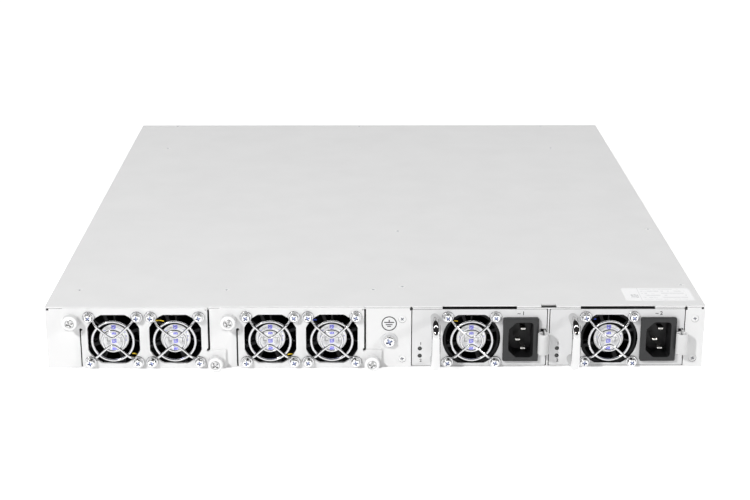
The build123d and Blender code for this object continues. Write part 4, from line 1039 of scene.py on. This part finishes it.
class SWITCH_OT_inlets(bpy.types.Operator):
    """Makes the mains inlets: flange with rounded edges, keyed cavity, and three pins."""

    bl_idname = "switch.inlets"
    bl_label = "Mains inlets"

    def execute(self, context):
        turn = np.linspace(0, 2 * np.pi, 240, endpoint=False)
        for letter in MODULES:
            node = "psu_inlet_" + letter
            low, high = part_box(node)
            centre = on_face(node, low.y)
            half_x, half_z = (high.x - low.x) / 2, (high.z - low.z) / 2
            outer = ((0, half_x), (90, half_z), (180, half_x), (270, half_z))
            hole_x, hole_z = 8.2 * MM, 12.3 * MM
            key = (hole_x + hole_z - 5.0 * MM) * math.sqrt(0.5)
            soft = (hole_x + hole_z - 1.3 * MM) * math.sqrt(0.5)
            hole = ((0, hole_x), (90, hole_z), (180, hole_x), (270, hole_z), (135, key), (225, key),
                    (45, soft), (315, soft))
            body_x, body_z = half_x - 1.7 * MM, half_z - 1.7 * MM
            body = ((0, body_x), (90, body_z), (180, body_x), (270, body_z))

            def ring(sides, inset, depth):
                """One closed row of the surface, inset from a polygon and set back from the front."""
                radius = smooth_polygon(turn, sides) - inset
                flat = radius[:, None] * (np.cos(turn)[:, None] * EAST + np.sin(turn)[:, None] * UP)
                return centre + flat - OUT * depth

            edge = 0.4 * MM
            rows = [ring(body, 0.0, 18.9 * MM), ring(body, 0.0, 3.0 * MM), ring(outer, 0.0, 3.0 * MM)]
            rows += [ring(outer, edge * (1 - math.cos(a)), edge * (1 - math.sin(a)))
                     for a in np.linspace(0, np.pi / 2, 5)]
            rows += [ring(hole, -0.5 * MM, 0.0), ring(hole, -0.15 * MM, 0.12 * MM),
                     ring(hole, 0.0, 0.5 * MM)]
            shell = Skin().grid(np.array(rows), around=True, caps=(True, False))
            shell.piece(node + "_flange", MATERIALS["inlet_plastic"], "psu_" + letter, "inlet_plastic",
                        [node])
            walls = [ring(hole, 0.02 * MM, 0.5 * MM), ring(hole, 0.1 * MM, 16.3 * MM),
                     ring(hole, 6.0 * MM, 16.3 * MM)]
            cavity = Skin().grid(np.array(walls), around=True, caps=(False, True))
            cavity.piece(node + "_cavity", MATERIALS["cavity_plastic"], "psu_" + letter)
            pins = Skin()
            for x, z in ((-1.8, -0.7), (1.8, 7.0), (1.8, -7.0)):
                place = centre + x * MM * EAST + z * MM * UP - OUT * 16.4 * MM
                pins.grid(slab(place, 4.0 * MM, 2.0 * MM, 13.4 * MM, 0.97 * MM, 0.95 * MM), around=True,
                          caps=(True, True))
            pins.piece(node + "_pins", MATERIALS["pin_metal"], "psu_" + letter)
        return {"FINISHED"}


class SWITCH_OT_latches(bpy.types.Operator):
    """Makes the release latches: flat blade, eye round its pin, and a tab rolled to an open curl."""

    bl_idname = "switch.latches"
    bl_label = "Release latches"

    def execute(self, context):
        sheet, shift = 0.8 * MM, 1.3 * MM
        outer = 3.85 * MM
        radius = outer - sheet / 2
        for letter in MODULES:
            node = "psu_latch_" + letter
            low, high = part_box(node)
            tall, middle = high.z - low.z, (low.z + high.z) / 2
            axis = np.array((low.x + outer, low.y + outer))
            turn = np.linspace(math.asin(shift / radius), math.radians(351.7), 49)
            curl = axis + radius * np.stack([np.sin(turn), np.cos(turn)], 1)
            blade_x = axis[0] + shift
            run = np.linspace(high.y - 1.4 * MM, curl[0, 1] - 0.2 * MM, 5)
            skin = Skin()
            for line in (curl, np.stack([np.full(5, blade_x), run], 1)):
                step = unit(np.gradient(line, axis=0))
                square = np.stack([-step[:, 1], step[:, 0]], 1)
                edge = outline(sheet, tall, 0.35 * MM, 5)
                surface = np.empty((len(line), len(edge), 3))
                surface[..., :2] = line[:, None] + edge[None, :, :1] * square[:, None]
                surface[..., 2] = middle + edge[:, 1]
                skin.grid(surface, around=True, caps=(True, True))
            eye = np.array((blade_x - 1.7 * MM, high.y - 2.05 * MM, low.z))
            ring = [(1.06 * MM, 0), (2.05 * MM, 0), (2.05 * MM, tall), (1.06 * MM, tall)]
            skin.grid(lathe(ring, eye, axis=UP, sides=32), around=True, along=True)
            skin.piece("psu_release_" + letter, MATERIALS["latch_paint"], node, "latch_paint", [node])
        return {"FINISHED"}


class SWITCH_OT_module_lights(bpy.types.Operator):
    """Makes the indicator lenses in their dark bezels."""

    bl_idname = "switch.module_lights"
    bl_label = "Module lights"

    def execute(self, context):
        for letter in MODULES:
            node = "psu_lights_" + letter
            low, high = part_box(node)
            r = (high.x - low.x) / 2
            x, face = (low.x + high.x) / 2, low.y
            bezel, lens = Skin(), Skin()
            for height in (low.z + r, high.z - r):
                centre = np.array((x, face, height))
                bezel.grid(lathe([(0.55 * r, -1.5 * MM), (0.55 * r, -0.1 * MM), (0.98 * r, 0.02 * MM),
                                  (0.99 * r, -1.5 * MM)], centre, sides=32), around=True, along=True)
                lens.grid(lathe([(0.53 * r, -3.0 * MM), (0.53 * r, -0.35 * MM), (0.4 * r, -0.2 * MM),
                                 (0.2 * r, -0.12 * MM), (0.001 * r, -0.1 * MM)], centre, sides=24),
                          around=True, caps=(True, False))
            bezel.piece(node + "_bezel", MATERIALS["connector_plastic"], "psu_" + letter)
            lens.piece(node + "_lens", MATERIALS["dark_lens"], "psu_" + letter, "clear_plastic", [node])
        return {"FINISHED"}


def printed_words(name, text, size, centre, axis, across, material, body, bold=0.0):
    """Printed digits or signs, made a mesh and set flat on a face."""
    curve = bpy.data.curves.new(name, "FONT")
    curve.body = text
    curve.size = size
    curve.align_x = "CENTER"
    curve.align_y = "CENTER"
    curve.extrude = 0.02 * MM
    curve.offset = bold
    curve.resolution_u = 3
    holder = bpy.data.objects.new(name + "_curve", curve)
    mesh = bpy.data.meshes.new_from_object(holder)
    bpy.data.objects.remove(holder)
    lift = np.cross(axis, across)
    turn = Matrix(np.stack([across, lift, axis], 1).tolist()).to_4x4()
    mesh.transform(Matrix.Translation(Vector(centre.tolist())) @ turn)
    mesh.name = name
    mesh.materials.clear()
    mesh.materials.append(material)
    return show(name, mesh, body)


class SWITCH_OT_printed_marks(bpy.types.Operator):
    """Prints the earth sign, the lights' numbers and the mains signs, and lays the cover's sticker."""

    bl_idname = "switch.printed_marks"
    bl_label = "Printed marks and sticker"

    def execute(self, context):
        width = sizes().mark_width
        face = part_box("chassis_base")[0].y
        centre = on_face("ground_screw", face) + 11.8 * MM * UP
        inner, rise = EARTH_RING - width, 0.04 * MM
        ring = [(inner, 0), (EARTH_RING, 0), (EARTH_RING, rise), (inner, rise)]
        skin = Skin().grid(lathe(ring, centre), around=True, along=True)
        bars = ((0.0, 1.75, width / MM, 1.9), (0.0, 0.85, 6.7, width / MM), (0.0, -0.72, 4.5, width / MM),
                (0.0, -1.95, 2.6, width / MM))
        for x, z, wide, tall in bars:
            place = centre + x * MM * EAST + z * MM * UP
            skin.grid(slab(place, wide * MM, tall * MM, rise, 0.1 * MM, 0.01 * MM), around=True,
                      caps=(True, True))
        skin.piece("earth_sign", MATERIALS["print_ink"], "root")
        for letter, digit in zip(MODULES, "12"):
            body = "psu_" + letter
            lights_low, lights_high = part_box("psu_lights_" + letter)
            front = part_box("psu_case_" + letter)[0].y
            x = (lights_low.x + lights_high.x) / 2 + 0.6 * MM
            rows = (("upper", lights_high.z + 2.1 * MM, "1"), ("lower", lights_low.z - 2.1 * MM, "2"))
            for tag, height, text in rows:
                place = np.array((x, front, height))
                printed_words("light_number_" + tag + "_" + letter, text, 2.9 * MM, place, OUT, EAST,
                              MATERIALS["print_ink"], body, 0.07 * MM)
            low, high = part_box("psu_inlet_" + letter)
            place = np.array(((low.x + high.x) / 2, front, high.z + 2.6 * MM))
            printed_words("mains_sign_" + letter, "~ " + digit, 3.6 * MM, place, OUT, EAST,
                          MATERIALS["print_ink"], body, 0.08 * MM)
        low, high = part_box("top_cover")
        centre = np.array((high.x - 28.1 * MM, low.y + 22.6 * MM, high.z))
        flat = outline(*STICKER, 1.2 * MM)
        rows = [centre + s * (flat[:, :1] * EAST - flat[:, 1:] * OUT) + h * UP
                for s, h in ((1.0, 0.0), (0.998, 0.05 * MM), (0.5, 0.05 * MM), (0.001, 0.05 * MM))]
        uv = np.stack([s * flat / STICKER + 0.5 for s in (1.0, 0.998, 0.5, 0.001)])
        sheet = Skin().grid(np.array(rows), around=True, uv=uv)
        sheet.piece("cover_sticker", MATERIALS["sticker_paper"], "root")
        return {"FINISHED"}


class SWITCH_OT_ports(bpy.types.Operator):
    """Adds the cages' spring fingers, the jack's contacts, and the port numbers."""

    bl_idname = "switch.ports"
    bl_label = "Port details"

    def execute(self, context):
        low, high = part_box("port_cages")
        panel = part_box("front_panel")[1].y
        inward = np.array((0.0, 1.0, 0.0))
        west = -EAST
        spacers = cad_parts["port_spacers"]
        columns = sorted({round(v.co.x * 10000) for v in spacers.data.vertices})
        edges = np.array(columns) / 10000.0
        skin = Skin()
        fingers = np.arange(low.x + 2 * MM, high.x, 3.6 * MM)
        for x in fingers:
            for height, side in ((low.z, -1), (high.z, 1)):
                step = np.linspace(0, 1, 7)[:, None]
                rise = side * (0.12 + 0.16 * np.sin(np.pi * step)) * MM
                middle = np.array((x, panel - 3.0 * MM, height)) + step * 3.6 * MM * inward + rise * UP
                strip = np.stack([middle - 1.2 * MM * EAST, middle + 1.2 * MM * EAST], 1)
                strip = np.concatenate([strip, strip[:, ::-1] + side * 0.1 * MM * UP], 1)
                skin.grid(strip, around=True, caps=(True, True))
        skin.piece("cage_fingers", MATERIALS["plated_sheet"], "root")
        jack_low, jack_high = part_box("rj45_jack")
        contacts = Skin()
        for row in (0, 1):
            for index in range(8):
                x = (jack_low.x + jack_high.x) / 2 + (index - 3.5) * 1.02 * MM
                step = np.linspace(0, 1, 12)[:, None]
                path = np.array((x, jack_high.y - 3.5 * MM, jack_low.z + (2.5 + 13.4 * row) * MM))
                path = path - step * 9.5 * MM * inward + (step ** 1.4) * 4.5 * MM * UP
                contacts.grid(tube(path, 0.22 * MM, EAST, sides=8), around=True, caps=(True, True))
        contacts.piece("jack_contacts", MATERIALS["gold_plate"], "root")
        number = 1
        for x in sorted(((a + b) / 2 for a, b in zip(edges[::2], edges[1::2])), reverse=True):
            for height in (high.z + 2.4 * MM, low.z - 2.4 * MM):
                place = np.array((x, panel, height))
                printed_words("port_number_" + str(number), str(number), 2.4 * MM, place, inward, west,
                              MATERIALS["port_ink"], "root")
                number += 1
        return {"FINISHED"}


# ---------------------------------------------------------------- stage
def backdrop_material(name, base, glow):
    """Pale matte ground that the camera, gloss and glass see brighter than lamps alone make it."""
    w, shader, material = begin_material(name)
    w.put(w.mix(w.noise(w.object_place(), 3.0), colour(base), colour(tuple(0.99 * v for v in base))),
          shader.inputs["Base Color"])
    shader.inputs["Roughness"].default_value = 0.9
    shader.inputs["Specular IOR Level"].default_value = 0.1
    path = w.node("LightPath")
    seen = w.most(path.outputs["Is Camera Ray"],
                 w.most(path.outputs["Is Glossy Ray"], path.outputs["Is Transmission Ray"]))
    glow_node = w.node("Emission")
    glow_node.inputs["Color"].default_value = (1.0, 1.0, 1.0, 1.0)
    w.put(w.times(seen, glow), glow_node.inputs["Strength"])
    both = w.node("AddShader")
    w.put(shader.outputs[0], both.inputs[0])
    w.put(glow_node.outputs[0], both.inputs[1])
    sink = [node for node in w.tree.nodes if node.type == "OUTPUT_MATERIAL"][0]
    w.put(both.outputs[0], sink.inputs[0])
    return material


def area_light(name, place, target, size, power):
    """Square soft light that points at a target."""
    light = bpy.data.lights.new(name, "AREA")
    light.shape = "RECTANGLE"
    light.size, light.size_y = size
    light.energy = power
    made = show(name, light)
    made.location = place
    made.rotation_euler = (Vector(target) - Vector(place)).to_track_quat("-Z", "Y").to_euler()
    return made


class SWITCH_OT_stage(bpy.types.Operator):
    """Makes the floor, the lights, the surroundings and the camera."""

    bl_idname = "switch.stage"
    bl_label = "Stage"

    def execute(self, context):
        scene = context.scene
        s = scene.switch_stage
        run = np.linspace(-8.0, 8.0, 33)
        x, y = np.meshgrid(run, run, indexing="ij")
        ground = np.stack([x, y, np.full_like(x, cad_low.z - 0.1 * MM)], -1)
        paper = backdrop_material("floor_paper", (0.86, 0.86, 0.86), 0.60)
        show("floor", Skin().grid(ground).mesh("floor", paper))

        world = bpy.data.worlds.new("surround")
        world.use_nodes = True
        w = Wiring(world.node_tree)
        world.node_tree.nodes.clear()
        rise = w.axes(w.node("TexCoord").outputs["Generated"])[2]
        path = w.node("LightPath").outputs
        soft = w.span(rise, 0.30, 0.62, s.surround, s.ceiling)
        sharp = w.span(rise, 0.28, 0.45, s.mirrored, 0.03)
        extra = w.times(path["Is Glossy Ray"], w.minus(sharp, soft))
        sky = w.plus(soft, extra)
        seen = path["Is Camera Ray"]
        background = w.node("Background")
        background.inputs["Color"].default_value = (1.0, 1.0, 1.0, 1.0)
        w.put(w.most(sky, seen), background.inputs["Strength"])
        sink = w.node("OutputWorld")
        w.put(background.outputs[0], sink.inputs[0])
        scene.world = world

        middle = (0.0, -0.1, 0.02)
        area_light("left_key", (-1.22, -1.89, 1.45), middle, (0.13, 0.13), s.key_light)
        area_light("right_key", (2.04, -1.32, 1.09), middle, (0.10, 0.10), s.side_light)
        for side in (-1, 1):
            place = (side * 0.9, -0.1, 2.2)
            area_light("strip_" + ("left", "right")[side > 0], place, (0.0, -0.1, 0.0), (0.35, 2.0),
                       s.strip_light)

        camera_data = bpy.data.cameras.new("camera")
        camera_data.lens = s.lens
        camera_data.sensor_width = 36.0
        camera_data.clip_start, camera_data.clip_end = 0.01, 100.0
        camera = show("camera", camera_data)
        flat = math.cos(s.pitch)
        ahead = Vector((math.sin(s.yaw) * flat, math.cos(s.yaw) * flat, -math.sin(s.pitch)))
        right = Vector((math.cos(s.yaw), -math.sin(s.yaw), 0.0))
        above = right.cross(ahead)
        side = right * math.cos(s.roll) + above * math.sin(s.roll)
        top = above * math.cos(s.roll) - right * math.sin(s.roll)
        turn = Matrix((side, top, -ahead)).transposed()
        camera.rotation_euler = turn.to_euler()
        camera.location = s.position
        scene.camera = camera
        scene.view_settings.view_transform = "Standard"
        return {"FINISHED"}


class SWITCH_PT_panel(bpy.types.Panel):
    """Lists the switch's pieces and settings."""

    bl_idname = "SWITCH_PT_panel"
    bl_label = "Network Switch"
    bl_space_type = "VIEW_3D"
    bl_region_type = "UI"
    bl_category = "Switch"

    def draw(self, context):
        for holder in ("switch_finishes", "switch_sizes", "switch_stage"):
            box = self.layout.box()
            group = getattr(context.scene, holder)
            for key in group.bl_rna.properties.keys():
                if key not in ("rna_type", "name"):
                    box.prop(group, key)
        for operator in OPERATORS:
            self.layout.operator(operator.bl_idname)


OPERATORS = (
    SWITCH_OT_stage, SWITCH_OT_finish_nodes, SWITCH_OT_finger_guards, SWITCH_OT_guard_screws,
    SWITCH_OT_flush_screws, SWITCH_OT_ground_screw, SWITCH_OT_fan_labels, SWITCH_OT_fan_leads,
    SWITCH_OT_thumbscrews, SWITCH_OT_handles, SWITCH_OT_inlets, SWITCH_OT_latches,
    SWITCH_OT_module_lights, SWITCH_OT_printed_marks, SWITCH_OT_ports,
)
GROUPS = {"switch_finishes": SwitchFinishes, "switch_sizes": SwitchSizes, "switch_stage": SwitchStage}


def register():
    for group in GROUPS.values():
        bpy.utils.register_class(group)
    for operator in OPERATORS:
        bpy.utils.register_class(operator)
    bpy.utils.register_class(SWITCH_PT_panel)
    for holder, group in GROUPS.items():
        setattr(bpy.types.Scene, holder, bpy.props.PointerProperty(type=group))


def unregister():
    for holder in GROUPS:
        delattr(bpy.types.Scene, holder)
    bpy.utils.unregister_class(SWITCH_PT_panel)
    for operator in reversed(OPERATORS):
        bpy.utils.unregister_class(operator)
    for group in GROUPS.values():
        bpy.utils.unregister_class(group)


def main():
    """Registers the add-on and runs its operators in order."""
    register()
    for operator in OPERATORS:
        category, name = operator.bl_idname.split(".")
        getattr(getattr(bpy.ops, category), name)()


if __name__ == "__main__":
    main()
